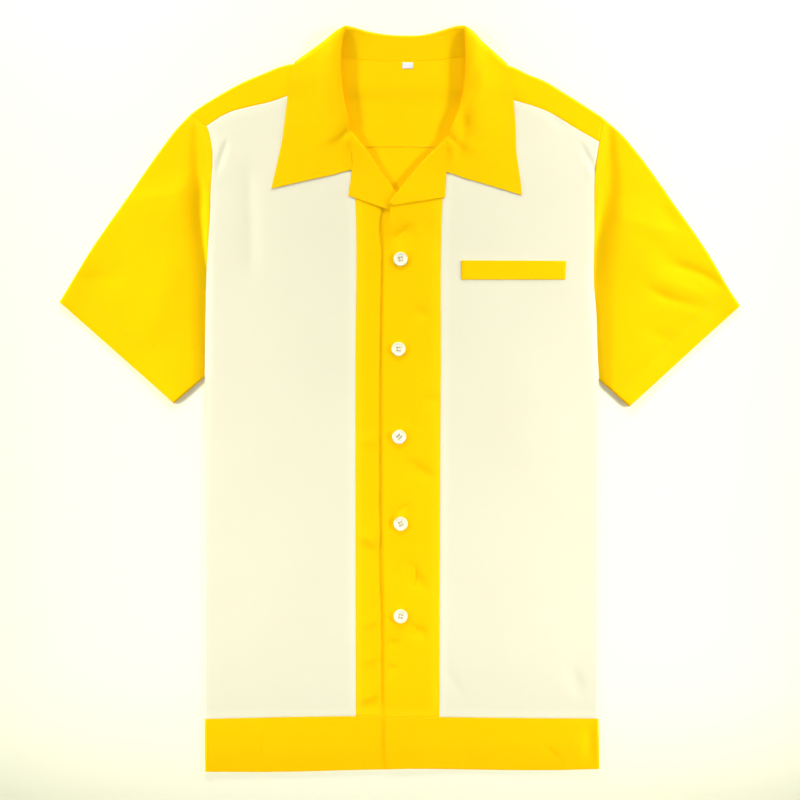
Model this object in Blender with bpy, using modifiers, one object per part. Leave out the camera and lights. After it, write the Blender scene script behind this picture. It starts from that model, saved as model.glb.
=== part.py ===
"""Short-sleeved bowling shirt with a camp collar, buttoned and laid flat, front up.

+X is the wearer's left, +Y runs from the hem to the collar, +Z is up from the table.
Sizes are millimetres; they become metres when a mesh is made.
"""

import bmesh
import bpy
import numpy as np

MM = 0.001

# ---- cloth and layers
WALL = 1.0
SEAM_GAP = 0.3
BACK_MID = WALL / 2
FRONT_MID = 3.2
LAYER_STEP = 1.4
LEAF_LIFT = 1.9
SPLIT = (BACK_MID + FRONT_MID) / 2
FOLD_DEPTH = 2.0
FOLD_ANGLES = (0.0, 12.0, 35.0, 62.0, 90.0)
SIDE_SEAM_GAP = 0.5
ARMHOLE_GAP = 0.22
SIDE_FOLD_START = 10.0

# ---- the collar's fall lies under the yoke and lifts it
FALL_LIFT = 1.4
FALL_HALF_WIDTH = 114.0
FALL_LIFT_END = 142.0
FALL_LIFT_LOW = 313.0
FALL_LIFT_HIGH = 331.0

# ---- front overlap
UNDER_DROP = 0.7
TOP_RAISE = 0.7
OVERLAP_FLAT = 20.0
OVERLAP_END = 46.0
CROSSING = {"x": 0.0, "y": 208.0, "spread": 20.0, "raise": 3.0}

# ---- outlines; every pair is (x, y)
BAND_TOP_BACK = ((-206.5, -339.0), (0.0, -337.0), (210.5, -338.5))
HEM_BACK = ((-206.0, -395.0), (-144.0, -395.3), (0.0, -392.3), (169.0, -393.3), (211.5, -392.0))
YOKE_SEAM_BACK = ((-86.0, 265.7), (0.0, 267.0), (91.8, 264.5))
NECK_SEAM_BACK = (
    (-86.0, 359.4),
    (-81.0, 361.6),
    (-72.0, 361.8),
    (-60.0, 361.0),
    (-33.0, 358.7),
    (0.0, 358.0),
    (36.0, 358.7),
    (66.0, 362.2),
    (76.0, 363.0),
    (86.0, 362.4),
    (91.8, 359.9),
)

RIGHT = {
    "sign": -1,
    "shoulder": (
        (-222.0, 301.0),
        (-209.5, 310.0),
        (-195.0, 319.0),
        (-164.0, 336.0),
        (-145.0, 344.0),
        (-126.0, 351.5),
        (-116.0, 354.0),
        (-106.0, 354.5),
        (-96.0, 358.0),
        (-86.0, 362.0),
    ),
    "sleeve_top": (
        (-222.0, 301.0),
        (-237.0, 285.0),
        (-253.0, 264.0),
        (-290.0, 211.0),
        (-327.0, 158.0),
        (-360.5, 102.5),
    ),
    "armhole": (
        (-222.0, 301.0),
        (-204.5, 288.5),
        (-199.5, 271.0),
        (-200.0, 221.0),
        (-201.5, 184.0),
        (-204.5, 136.0),
        (-206.0, 73.0),
        (-206.5, 23.5),
    ),
    "underarm": ((-206.5, 23.5), (-239.0, -5.0)),
    "side": ((-206.5, -339.0), (-206.5, -150.0), (-206.5, 23.5)),
    "band_side": ((-206.0, -395.0), (-206.5, -339.0)),
    "yoke_front": (
        (-204.5, 288.5),
        (-193.0, 296.5),
        (-181.0, 303.0),
        (-161.5, 308.5),
        (-133.0, 315.5),
        (-118.5, 321.0),
        (-74.5, 334.0),
    ),
    "back_seam_y": 264.5,
    "neck_yoke": ((-86.0, 362.0), (-80.0, 347.5), (-74.5, 334.0)),
    "neck_front": ((-74.5, 334.0), (-69.5, 320.0), (-65.0, 303.0), (-59.5, 288.0), (-52.0, 280.0)),
    "princess": ((-46.5, -336.0), (-47.0, 23.0), (-47.0, 211.0), (-49.0, 253.0), (-52.0, 280.0)),
    "front_edge": ((16.5, -337.0), (16.5, 23.0), (15.5, 189.5)),
    "band_front_edge": ((16.5, -392.0), (16.5, -337.0)),
    "band_side_top": ((-206.5, -339.0), (-130.0, -337.2), (-46.5, -336.0)),
    "band_centre_top": ((-46.5, -336.0), (16.5, -337.0)),
    "hem": ((-206.0, -395.0), (-144.0, -395.3), (-46.5, -393.3), (16.5, -392.0)),
    "lapel_fold": (
        (-52.0, 284.0),
        (-43.0, 272.5),
        (-37.0, 265.5),
        (-24.0, 246.5),
        (-14.5, 233.5),
        (-5.0, 220.0),
        (16.0, 191.0),
    ),
    "lapel_gorge_end": (-50.0, 242.5),
    "lapel_corner": (-54.5, 215.0),
    "lapel_hem_point": (2.0, 195.5),
}
LEFT = {
    "sign": 1,
    "shoulder": (
        (214.5, 298.0),
        (196.0, 310.0),
        (170.0, 326.5),
        (152.0, 337.0),
        (137.0, 343.0),
        (117.0, 352.0),
        (108.0, 353.6),
        (100.0, 357.5),
        (91.8, 362.5),
    ),
    "sleeve_top": (
        (214.5, 298.0),
        (233.5, 281.5),
        (254.5, 256.5),
        (287.5, 210.5),
        (324.5, 157.5),
        (356.5, 104.5),
        (360.5, 98.5),
    ),
    "armhole": (
        (214.5, 298.0),
        (211.0, 272.0),
        (207.0, 242.0),
        (206.0, 179.0),
        (206.0, 115.0),
        (208.0, 94.0),
        (209.0, 62.0),
        (211.0, 20.5),
    ),
    "underarm": ((211.2, 20.3), (243.0, -8.5)),
    "side": ((210.5, -338.5), (210.0, -150.0), (210.6, 20.5)),
    "band_side": ((211.5, -392.0), (210.5, -338.5)),
    "yoke_front": (
        (211.0, 272.0),
        (187.0, 286.0),
        (161.0, 302.0),
        (140.0, 310.5),
        (121.0, 316.0),
        (79.5, 333.0),
    ),
    "back_seam_y": 263.5,
    "neck_yoke": ((91.8, 362.5), (86.0, 347.5), (79.5, 333.0)),
    "neck_front": ((79.5, 333.0), (73.5, 316.0), (67.5, 299.0), (60.0, 283.5), (51.5, 274.0)),
    "princess": ((42.0, -337.0), (43.5, 23.0), (45.5, 211.0), (48.0, 250.0), (51.5, 274.0)),
    "front_edge": (
        (-15.6, -337.3),
        (-15.6, -256.0),
        (-17.0, -171.0),
        (-17.8, -1.0),
        (-16.7, 105.0),
        (-14.6, 168.0),
        (-11.2, 200.0),
    ),
    "band_front_edge": ((-14.6, -392.5), (-15.6, -337.3)),
    "band_side_top": ((210.5, -338.5), (130.0, -338.0), (42.0, -337.0)),
    "band_centre_top": ((42.0, -337.0), (-15.6, -337.3)),
    "hem": ((211.5, -392.0), (169.0, -393.3), (42.0, -391.2), (-14.6, -392.5)),
    "lapel_fold": (
        (51.5, 278.0),
        (37.5, 264.5),
        (23.5, 251.0),
        (11.0, 236.0),
        (-4.0, 217.0),
        (-9.0, 210.0),
        (-10.6, 206.0),
    ),
    "lapel_gorge_end": (49.5, 240.0),
    "lapel_corner": (48.0, 213.0),
    "lapel_hem_point": (-7.9, 204.8),
}

# half the height of the lapel's roll along its fold, from the gorge to the break
LAPEL_ROLL = ((0.0, 3.7), (0.35, 2.4), (0.7, 1.1), (1.0, 0.85))
LAPEL_ROLL_SLOPE = 1.1
LAPEL_SETTLE = 32.0
LAPEL_GORGE_SHARE = 0.25

# ---- soft folds in the front layer: from (x, y) to (x, y), half width, height
FRONT_FOLDS = (
    (-209.0, 268.0, -214.0, 40.0, 6.0, -1.0),
    (216.0, 262.0, 219.0, 35.0, 6.0, -1.0),
    (-205.0, 262.0, -207.0, 60.0, 4.0, 0.5),
    (210.0, 258.0, 213.0, 60.0, 4.0, 0.5),
    (-330.0, 120.0, -285.0, 140.0, 14.0, -0.8),
    (-270.0, 60.0, -235.0, 150.0, 16.0, 0.9),
    (258.0, 140.0, 320.0, 90.0, 12.0, 0.9),
    (250.0, 180.0, 310.0, 130.0, 9.0, -0.6),
    (-168.0, 240.0, -160.0, 140.0, 12.0, -0.7),
    (-178.0, 282.0, -196.0, 232.0, 6.0, 0.7),
    (194.0, 272.0, 206.0, 228.0, 5.0, 0.6),
    (-140.0, 60.0, -90.0, -60.0, 30.0, 0.8),
    (110.0, 60.0, 150.0, -80.0, 32.0, 0.8),
    (-150.0, -250.0, -100.0, -160.0, 24.0, 0.5),
    (90.0, -250.0, 150.0, -190.0, 24.0, 0.5),
    (-145.0, -345.0, -143.0, -394.0, 4.0, 0.8),
)
FOLD_TAPER = 0.35

# ---- small pieces
WELT = {
    "corners": ((65.0, 126.0), (175.5, 126.0), (176.5, 146.0), (65.0, 146.5)),
    "wall": 1.2,
    "columns": 12,
    "rows": 4,
}
LABEL = {
    "corners": ((2.8, 349.6), (14.2, 349.6), (14.2, 356.2), (2.8, 356.2)),
    "wall": 0.6,
    "columns": 4,
    "rows": 3,
}
BUTTONS = ((0.8, 147.7), (-1.3, 52.5), (-0.6, -40.4), (1.0, -132.3), (0.9, -230.2))
# radius and height of a button's outline, from its foot over its rim to its dish
BUTTON_OUTLINE = ((6.2, 0.0), (7.1, 0.5), (7.4, 1.2), (7.25, 2.4), (6.65, 2.8), (5.9, 2.65), (4.9, 2.1))
BUTTON = {
    "radius": 7.4,
    "dish_height": 2.1,
    "hole_radius": 0.95,
    "hole_offset": 1.6,
    "segments": 20,
    "hole_segments": 6,
}

# ---- collar sections, from the right gorge round the back of the neck to the left one
COLLAR_COLUMNS = (
    "neck_x",
    "neck_y",
    "seat",
    "roll_x",
    "roll_y",
    "roll_z",
    "edge_x",
    "edge_y",
    "bearing",
    "tilt",
    "radius",
    "depth",
)
COLLAR_SECTIONS = (
    (-50.5, 242.4, "lapel", -59.0, 240.4, 5.6, -136.0, 222.3, 103, 0, 4.0, 0.05),
    (-51.1, 262.0, "lapel", -60.0, 259.8, 8.0, -131.3, 242.5, 103, -8, 4.0, 0.05),
    (-51.5, 276.5, "lapel", -58.5, 275.6, 11.2, -127.0, 262.0, 100, -8, 3.6, 0.1),
    (-52.0, 283.2, "roll", -54.8, 286.0, 10.2, -124.2, 276.0, 50, 55, 2.6, 0.9),
    (-51.8, 281.9, "front", -54.0, 291.5, 9.4, -122.9, 286.0, 12, 88, 3.9, 1.0),
    (-58.6, 289.2, "front", -55.0, 298.0, 9.8, -121.9, 293.5, 11, 90, 4.0, 1.0),
    (-65.0, 303.0, "front", -56.8, 305.5, 10.4, -120.9, 301.5, 10, 90, 4.3, 1.0),
    (-69.5, 320.0, "front", -60.2, 324.0, 11.5, -119.2, 316.0, 8, 90, 4.8, 1.0),
    (-77.0, 340.0, "front", -62.2, 350.0, 12.5, -117.4, 333.0, 0, 90, 5.2, 1.0),
    (-83.0, 354.5, "front", -62.0, 370.0, 12.8, -114.6, 345.5, -4, 88, 5.0, 1.0),
    (-85.3, 360.2, "front", -60.0, 384.0, 11.6, -112.4, 352.5, 5, 70, 4.0, 1.0),
    (-85.6, 362.0, "shoulder", -57.0, 393.8, 9.6, -109.6, 357.2, 60, 0, 2.0, 1.0),
    (-81.0, 361.6, "back", -51.5, 393.4, 6.6, -106.0, 356.6, 75, -60, 2.2, 1.0),
    (-72.0, 361.8, "back", -45.5, 391.8, 4.6, -91.0, 344.0, 88, -85, 2.1, 1.0),
    (-60.0, 361.0, "back", -36.0, 389.2, 3.2, -70.0, 339.0, 92, -90, 1.8, 1.0),
    (-33.0, 358.7, "back", -18.0, 385.8, 2.3, -36.0, 336.5, 92, -90, 1.6, 1.0),
    (0.0, 358.0, "back", 1.0, 384.4, 2.2, 0.0, 336.0, 90, -90, 1.6, 1.0),
    (36.0, 358.7, "back", 26.0, 385.2, 2.3, 38.0, 337.0, 88, -90, 1.6, 1.0),
    (66.0, 362.2, "back", 45.5, 390.0, 3.2, 72.0, 340.0, 88, -90, 1.8, 1.0),
    (76.0, 363.0, "back", 56.0, 393.2, 4.6, 94.0, 345.0, 92, -85, 2.1, 1.0),
    (86.0, 362.4, "back", 62.5, 394.4, 6.6, 108.6, 355.2, 105, -60, 2.2, 1.0),
    (91.4, 362.4, "shoulder", 67.6, 394.0, 9.6, 112.2, 355.6, 120, 0, 2.0, 1.0),
    (91.0, 360.6, "front", 69.2, 383.5, 11.6, 115.0, 350.0, 175, 70, 4.0, 1.0),
    (88.6, 354.5, "front", 69.9, 368.0, 12.8, 117.2, 341.0, 184, 88, 5.0, 1.0),
    (82.5, 339.0, "front", 69.7, 347.0, 12.5, 119.6, 325.0, 178, 90, 5.2, 1.0),
    (73.5, 316.0, "front", 66.4, 320.5, 11.5, 121.3, 306.0, 165, 90, 4.8, 1.0),
    (67.5, 299.0, "front", 61.6, 303.5, 10.4, 122.4, 292.5, 160, 90, 4.3, 1.0),
    (58.8, 285.1, "front", 58.4, 295.0, 9.8, 122.8, 283.5, 159, 90, 4.0, 1.0),
    (51.4, 276.4, "front", 54.8, 286.0, 9.4, 123.0, 275.0, 158, 88, 3.9, 1.0),
    (51.5, 277.2, "roll", 54.0, 280.2, 10.2, 123.4, 263.0, 130, 55, 2.6, 0.9),
    (51.0, 270.5, "lapel", 57.5, 268.9, 11.2, 125.2, 249.0, 74, -8, 3.6, 0.1),
    (50.2, 257.0, "lapel", 59.0, 254.2, 8.0, 127.6, 232.5, 72, -8, 4.0, 0.05),
    (49.5, 240.0, "lapel", 58.0, 237.4, 5.6, 129.4, 215.4, 73, 0, 4.0, 0.05),
)
COLLAR_ROLL_ANGLES = (-90.0, -45.0, 0.0, 45.0, 90.0)
COLLAR_STEPS = (2, 1, 1, 1, 1, 3, 3)
COLLAR_ROWS_PER_SECTION = 2
COLLAR_NECK_CLEARANCE = 0.75
FALL_MIDDLE = 0.42
FALL_SAG = 0.3

# ---- mesh density
BODY_COLUMNS = 12
BODY_ROWS_LOW = 9
BODY_ROWS_HIGH = 10
PRINCESS_ROWS_HIGH = 6
PRINCESS_CROWDING = 0.45
CENTRE_COLUMNS = 8
LAPEL_ROWS = 6
LAPEL_NOTCH_COLUMNS = 3
LAPEL_BEND_ANGLES = (-60.0, -30.0, 0.0, 30.0, 60.0)
LAPEL_LINE_SAMPLES = 200
ARMHOLE_SAMPLES = 120
ARMHOLE_SPREAD = 1.4
SLEEVE_STATIONS = 11
YOKE_NECK_COLUMNS = 12
YOKE_BACK_ROWS = 5
YOKE_FRONT_ROWS = 4
YOKE_NECK_REACH = 94.0
BAND_ROWS = 4
WELD_DISTANCE = 0.02

# ---- colours, linear, and roughness
YELLOW = (0.96, 0.68, 0.004)
CREAM = (0.95, 0.89, 0.68)
IVORY = (0.90, 0.88, 0.80)
LABEL_WHITE = (0.93, 0.93, 0.91)
CLOTH_ROUGHNESS = 0.8
LABEL_ROUGHNESS = 0.7
BUTTON_ROUGHNESS = 0.3


# ------------------------------------------------------------------ curves
def chord_lengths(points):
    steps = np.linalg.norm(np.diff(points, axis=0), axis=1)
    return np.concatenate(([0.0], np.cumsum(steps)))


def spline(points, at):
    """Points of a smooth curve through the given ones, at chord lengths."""
    points = np.asarray(points, float)
    knots = chord_lengths(points)
    if len(points) == 2:
        share = (np.asarray(at) / knots[1])[:, None]
        return points[0] * (1 - share) + points[1] * share
    slopes = np.gradient(points, knots, axis=0)
    index = np.clip(np.searchsorted(knots, at, side="right") - 1, 0, len(points) - 2)
    span = knots[index + 1] - knots[index]
    t = ((at - knots[index]) / span)[:, None]
    span = span[:, None]
    start = (1 + 2 * t) * (1 - t) ** 2 * points[index]
    leave = t * (1 - t) ** 2 * span * slopes[index]
    end = t**2 * (3 - 2 * t) * points[index + 1]
    arrive = t**2 * (t - 1) * span * slopes[index + 1]
    return start + leave + end + arrive


def curve(points, count):
    """A smooth curve through the given points, sampled at even chord lengths."""
    knots = chord_lengths(np.asarray(points, float))
    return spline(points, np.linspace(0.0, knots[-1], count))


def along(path, distances):
    """Points of a polyline at given distances from its start."""
    knots = chord_lengths(path)
    return np.stack([np.interp(distances, knots, path[:, k]) for k in range(path.shape[1])], 1)


def coons(bottom, top, left, right):
    """A plan grid between four curves; rows run from bottom to top."""
    rows, columns = len(left), len(bottom)
    v = np.linspace(0, 1, rows)[:, None, None]
    u = np.linspace(0, 1, columns)[None, :, None]
    ruled_v = (1 - v) * bottom[None] + v * top[None]
    ruled_u = (1 - u) * left[:, None] + u * right[:, None]
    corners = (1 - v) * ((1 - u) * bottom[0] + u * bottom[-1])
    corners = corners + v * ((1 - u) * top[0] + u * top[-1])
    return ruled_v + ruled_u - corners


def ease(value):
    """Smooth step from 0 to 1."""
    t = np.clip(value, 0.0, 1.0)
    return t * t * (3 - 2 * t)


# ----------------------------------------------------------------- heights
def fall_lift(x, y):
    """How far the hidden half of the collar lifts the yoke above it."""
    across = ease((FALL_LIFT_END - np.abs(x)) / (FALL_LIFT_END - FALL_HALF_WIDTH))
    along_y = ease((y - FALL_LIFT_LOW) / (FALL_LIFT_HIGH - FALL_LIFT_LOW))
    return FALL_LIFT * across * along_y


def soft_folds(x, y):
    """Height that the cloth's soft ridges and troughs add to the front layer."""
    height = np.zeros(np.shape(x))
    for start_x, start_y, end_x, end_y, width, rise in FRONT_FOLDS:
        run = np.array((end_x - start_x, end_y - start_y))
        length = np.hypot(*run)
        run = run / length
        share = ((x - start_x) * run[0] + (y - start_y) * run[1]) / length
        off = (x - start_x) * run[1] - (y - start_y) * run[0]
        ends = ease(share / FOLD_TAPER + 0.5) * ease((1 - share) / FOLD_TAPER + 0.5)
        height += rise * ends * np.exp(-((off / width) ** 2))
    return height


def back_mid(x, y):
    return BACK_MID + fall_lift(x, y)


def front_mid(x, y, side):
    """Middle of the front cloth; the left front lies over the right one."""
    height = FRONT_MID + fall_lift(x, y) + soft_folds(x, y)
    span = OVERLAP_END - OVERLAP_FLAT
    if side["sign"] < 0:
        return height - UNDER_DROP * ease((x + OVERLAP_END) / span)
    off = (x - CROSSING["x"]) ** 2 + (y - CROSSING["y"]) ** 2
    crossing = CROSSING["raise"] * np.exp(-off / (2 * CROSSING["spread"] ** 2))
    return height + TOP_RAISE * ease((OVERLAP_END - x) / span) + crossing


def with_height(plan, height):
    return np.concatenate((plan, np.asarray(height)[..., None]), axis=-1)


# ------------------------------------------------------------- folded edges
def fold_offsets(share=1.0):
    """Distances in from an outline at which the bend of a fold is sampled."""
    angles = np.radians(FOLD_ANGLES)
    bent = WALL / 2 + FOLD_DEPTH * (1 - np.cos(angles))
    spread = FOLD_DEPTH * np.array(FOLD_ANGLES) / FOLD_ANGLES[-1]
    return share * bent + (1 - share) * spread


def fold_heights(flat, split, share=1.0):
    """Heights of the bend from the split between the layers up or down to one."""
    angles = np.radians(FOLD_ANGLES)
    start = split + np.sign(flat - split) * SIDE_SEAM_GAP / 2
    bent = start + (flat - start) * np.sin(angles)
    return share * bent + (1 - share) * flat


def folded_rows(plan, mid, share, split):
    """Grid whose first column is bent towards the other layer along a side fold."""
    rows = []
    for path, amount in zip(plan, share):
        length = chord_lengths(path)[-1]
        bend = fold_offsets(amount)
        rest = np.linspace(bend[-1], length, plan.shape[1])[1:]
        points = along(path, np.concatenate((bend, rest)))
        heights = mid(points[:, 0], points[:, 1])
        flat = heights[len(bend) - 1]
        heights[: len(bend)] = fold_heights(flat, split, amount)
        rows.append(with_height(points, heights))
    return np.array(rows)


def side_share(y, armpit_y):
    """How far the side edge is folded: not at the armpit, fully just below it."""
    return ease((armpit_y - y) / SIDE_FOLD_START)


# ------------------------------------------------------------------ insets
def pulled_in(grid, sides, gap=SEAM_GAP / 2):
    """Moves the named borders of a grid inwards by half the seam gap."""
    grid = grid.copy()
    rows = {"bottom": (0, 1), "top": (-1, -2)}
    columns = {"left": (0, 1), "right": (-1, -2)}
    for name in sides:
        if name in rows:
            edge, inner = rows[name]
            step = grid[inner] - grid[edge]
            grid[edge] += gap * step / np.linalg.norm(step, axis=-1, keepdims=True)
        else:
            edge, inner = columns[name]
            step = grid[:, inner] - grid[:, edge]
            grid[:, edge] += gap * step / np.linalg.norm(step, axis=-1, keepdims=True)
    return grid


# ------------------------------------------------------------------ meshes
def grid_faces(rows, columns, ring=False):
    faces = []
    last = columns if ring else columns - 1
    for i in range(rows - 1):
        for j in range(last):
            k = (j + 1) % columns
            faces.append((i * columns + j, i * columns + k, (i + 1) * columns + k, (i + 1) * columns + j))
    return faces


def add_sheet(name, grids, material, collection, wall=WALL, ring=False, even=True):
    """One closed cloth body: welded grids given a wall by Solidify."""
    mesh = bpy.data.meshes.new(name)
    build = bmesh.new()
    for grid in grids:
        rows, columns = grid.shape[:2]
        verts = [build.verts.new(point * MM) for point in grid.reshape(-1, 3)]
        for face in grid_faces(rows, columns, ring):
            build.faces.new([verts[index] for index in face])
    bmesh.ops.remove_doubles(build, verts=build.verts, dist=WELD_DISTANCE * MM)
    bmesh.ops.recalc_face_normals(build, faces=build.faces)
    for edge in build.edges:
        edge.smooth = not edge.is_boundary
    build.to_mesh(mesh)
    build.free()
    mesh.polygons.foreach_set("use_smooth", [True] * len(mesh.polygons))
    mesh.materials.append(material)
    shirt_piece = bpy.data.objects.new(name, mesh)
    collection.objects.link(shirt_piece)
    solid = shirt_piece.modifiers.new("wall", "SOLIDIFY")
    solid.thickness = wall * MM
    solid.offset = 0.0
    solid.use_even_offset = even
    solid.use_quality_normals = True
    return shirt_piece


# --------------------------------------------------------------- body panels
def armhole_path(side):
    """Plan of the armhole seam, from the shoulder down to the armpit."""
    return curve(side["armhole"], ARMHOLE_SAMPLES)


def armhole_stops(side, seam_y, above, below):
    """Distances down the armhole that hold a vertex in each piece sewn to it."""
    path = armhole_path(side)
    lengths = chord_lengths(path)
    seam = np.interp(-seam_y, -path[:, 1], lengths)
    bend = fold_offsets()[-1]
    high = np.linspace(bend, seam, above)
    share = np.linspace(0, 1, below) ** ARMHOLE_SPREAD
    low = seam + (lengths[-1] - bend - seam) * share
    return np.concatenate((high, low[1:]))


def back_yoke_seam():
    """The yoke's lower seam on the back, from one armhole to the other."""
    ends = []
    for side in (RIGHT, LEFT):
        path = armhole_path(side)
        x = np.interp(-side["back_seam_y"], -path[:, 1], path[:, 0])
        ends.append((x, side["back_seam_y"]))
    return np.array((ends[0], *YOKE_SEAM_BACK, ends[1]))


def front_stops(side):
    """Stops shared by the yoke's front, the side panel and the sleeve's front layer."""
    return armhole_stops(side, side["yoke_front"][0][1], YOKE_FRONT_ROWS, BODY_ROWS_HIGH)


def back_stops(side):
    """Stops shared by the yoke's back, the back panel and the sleeve's back layer."""
    return armhole_stops(side, side["back_seam_y"], YOKE_BACK_ROWS, BODY_ROWS_HIGH)


def outer_rows(side, stops, above):
    """Side and armhole of a body panel, from the band up to the yoke seam."""
    low = curve(side["side"], BODY_ROWS_LOW)
    high = along(armhole_path(side), stops[above - 1 : -1][::-1])
    return np.concatenate((low, high))


def princess_rows(side):
    """Seam between side and centre panels, from the band up to the lapel's roll."""
    path = np.array(side["princess"])
    path[-1] = lapel_foot(side)[0]
    lengths = chord_lengths(path)
    level = np.interp(side["side"][-1][1], path[:, 1], lengths)
    low = np.linspace(0, level, BODY_ROWS_LOW)
    share = np.linspace(0, 1, PRINCESS_ROWS_HIGH + 1)[1:]
    share = share + PRINCESS_CROWDING * share * (1 - share)
    return spline(path, np.concatenate((low, level + (lengths[-1] - level) * share)))


def side_panel(side):
    """Front panel between the side, the armhole, the yoke and the centre panel."""
    outer = outer_rows(side, front_stops(side), YOKE_FRONT_ROWS)
    princess = princess_rows(side)
    neck = np.array(side["neck_front"][::-1])
    neck[0] = princess[-1]
    neck = curve(neck, len(outer) - len(princess) + 1)
    inner = np.concatenate((princess, neck[1:]))
    bottom = curve(side["band_side_top"], BODY_COLUMNS)
    top = curve(side["yoke_front"], BODY_COLUMNS)
    outer[-1] = top[0]
    plan = coons(bottom, top, outer, inner)
    share = side_share(outer[:, 1], side["side"][-1][1])
    grid = folded_rows(plan, lambda x, y: front_mid(x, y, side), share, SPLIT)
    grid = pulled_in(grid, ("bottom", "top", "right"))
    return armhole_gap(grid, outer, side, 0)


def armhole_gap(grid, outer, side, column):
    """Pulls the armhole's border in, where the side edge below it is a fold."""
    above = outer[:, 1] > side["side"][-1][1] - 1
    inner = 1 if column == 0 else -2
    step = grid[above, inner] - grid[above, column]
    grid[above, column] += ARMHOLE_GAP * step / np.linalg.norm(step, axis=-1, keepdims=True)
    return grid


def back_panel():
    """Back between the band, both sides, both armholes and the yoke."""
    right = outer_rows(RIGHT, back_stops(RIGHT), YOKE_BACK_ROWS)
    left = outer_rows(LEFT, back_stops(LEFT), YOKE_BACK_ROWS)
    bottom = curve(BAND_TOP_BACK, BODY_COLUMNS)
    top = curve(back_yoke_seam(), BODY_COLUMNS)
    right[-1], left[-1] = top[0], top[-1]
    grid = two_sided(coons(bottom, top, right, left), ("bottom", "top"))
    grid = armhole_gap(grid, right, RIGHT, 0)
    return armhole_gap(grid, left, LEFT, -1)


def two_sided(plan, seams):
    """Back cloth with both side edges bent up towards the front."""
    half = plan.shape[1] // 2
    right_share = side_share(plan[:, 0, 1], RIGHT["side"][-1][1])
    left_share = side_share(plan[:, -1, 1], LEFT["side"][-1][1])
    first = folded_rows(plan[:, : half + 1], back_mid, right_share, SPLIT)
    second = folded_rows(plan[:, half:][:, ::-1], back_mid, left_share, SPLIT)[:, ::-1]
    grid = np.concatenate((first, second[:, 1:]), axis=1)
    return pulled_in(grid, seams)


def back_band():
    """Hem band of the back, folded up at both side seams."""
    plan = coons(
        curve(HEM_BACK, BODY_COLUMNS),
        curve(BAND_TOP_BACK, BODY_COLUMNS),
        curve(RIGHT["band_side"], BAND_ROWS),
        curve(LEFT["band_side"], BAND_ROWS),
    )
    return two_sided(plan, ("top",))


def front_band(side):
    """Hem band of one front, folded down at its side seam."""
    panel = curve(side["band_side_top"], BODY_COLUMNS)
    centre = curve(side["band_centre_top"], CENTRE_COLUMNS)
    seam = np.concatenate((panel, centre[1:]))
    share = chord_lengths(seam) / chord_lengths(seam)[-1]
    hem_length = chord_lengths(np.array(side["hem"]))[-1]
    plan = coons(
        spline(side["hem"], share * hem_length),
        seam,
        curve(side["band_side"], BAND_ROWS),
        curve(side["band_front_edge"], BAND_ROWS),
    )
    grid = folded_rows(plan, lambda x, y: front_mid(x, y, side), np.ones(BAND_ROWS), SPLIT)
    return pulled_in(grid, ("top",))


# ------------------------------------------------------------- centre panels
def lapel_directions(fold, side):
    """Plan directions from the lapel's fold into the panel, one for each column."""
    tangent = np.gradient(fold, axis=0)
    tangent /= np.linalg.norm(tangent, axis=1, keepdims=True)
    inward = np.stack((tangent[:, 1], -tangent[:, 0]), 1) * -side["sign"]
    gorge = np.array(side["lapel_gorge_end"]) - fold[0]
    gorge /= np.linalg.norm(gorge)
    weight = ease(1 - np.linspace(0, 1, len(fold)) / LAPEL_GORGE_SHARE)[:, None]
    inward = weight * gorge + (1 - weight) * inward
    return inward / np.linalg.norm(inward, axis=1, keepdims=True)


def lapel_height(plan, side, fold, foot, crest):
    """The lapel comes down from its roll and settles on the panel."""
    flat = plan.reshape(-1, 2)
    share = np.linspace(0, 1, len(fold))
    fine = np.linspace(0, 1, LAPEL_LINE_SAMPLES)
    line = np.stack([np.interp(fine, share, fold[:, k]) for k in (0, 1)], 1)
    gaps = np.linalg.norm(flat[:, None] - line[None], axis=2)
    settle = ease(gaps.min(axis=1) / LAPEL_SETTLE)
    rest = front_mid(flat[:, 0], flat[:, 1], side) + LAYER_STEP
    crest_here = np.interp(fine, share, foot + crest)[gaps.argmin(axis=1)]
    top = np.maximum(crest_here, rest)
    return (rest + (top - rest) * (1 - settle)).reshape(plan.shape[:2])


def lapel_roll_height():
    """Half the height of the lapel's roll at each column."""
    share, height = np.transpose(LAPEL_ROLL)
    return np.interp(np.linspace(0, 1, CENTRE_COLUMNS), share, height)


def lapel_fold_line(side):
    """Fold points and the plan directions in which their bend reaches back."""
    fold = curve(side["lapel_fold"], CENTRE_COLUMNS)
    return fold, lapel_directions(fold, side)


def lapel_foot(side):
    """Plan of the line where panel and lapel both meet the bend between them."""
    fold, inward = lapel_fold_line(side)
    reach = WALL / 2 + LAPEL_ROLL_SLOPE * lapel_roll_height()
    return fold + inward * reach[:, None]


def centre_panel(side):
    """Centre front with its cut-on lapel, turned back along the fold."""
    fold, inward = lapel_fold_line(side)
    foot_plan = lapel_foot(side)
    roll = lapel_roll_height()
    princess = princess_rows(side)
    edge = np.array(side["front_edge"])
    edge[-1] = foot_plan[-1]
    body = coons(
        curve(side["band_centre_top"], CENTRE_COLUMNS),
        foot_plan,
        princess,
        curve(edge, len(princess)),
    )
    body = with_height(body, front_mid(body[..., 0], body[..., 1], side))
    foot = body[-1, :, 2]
    bend = []
    for angle in np.radians(LAPEL_BEND_ANGLES):
        reach = WALL / 2 + LAPEL_ROLL_SLOPE * roll * (1 - np.cos(angle))
        bend.append(with_height(fold + inward * reach[:, None], foot + roll * (1 + np.sin(angle))))
    lapel = lapel_patch(side, foot_plan)
    lapel = with_height(lapel, lapel_height(lapel, side, foot_plan, foot, 2 * roll))
    lapel[0, :, 2] = foot + 2 * roll
    grid = np.concatenate((body, np.array(bend), lapel))
    return pulled_in(grid, ("bottom", "left"))


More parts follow.
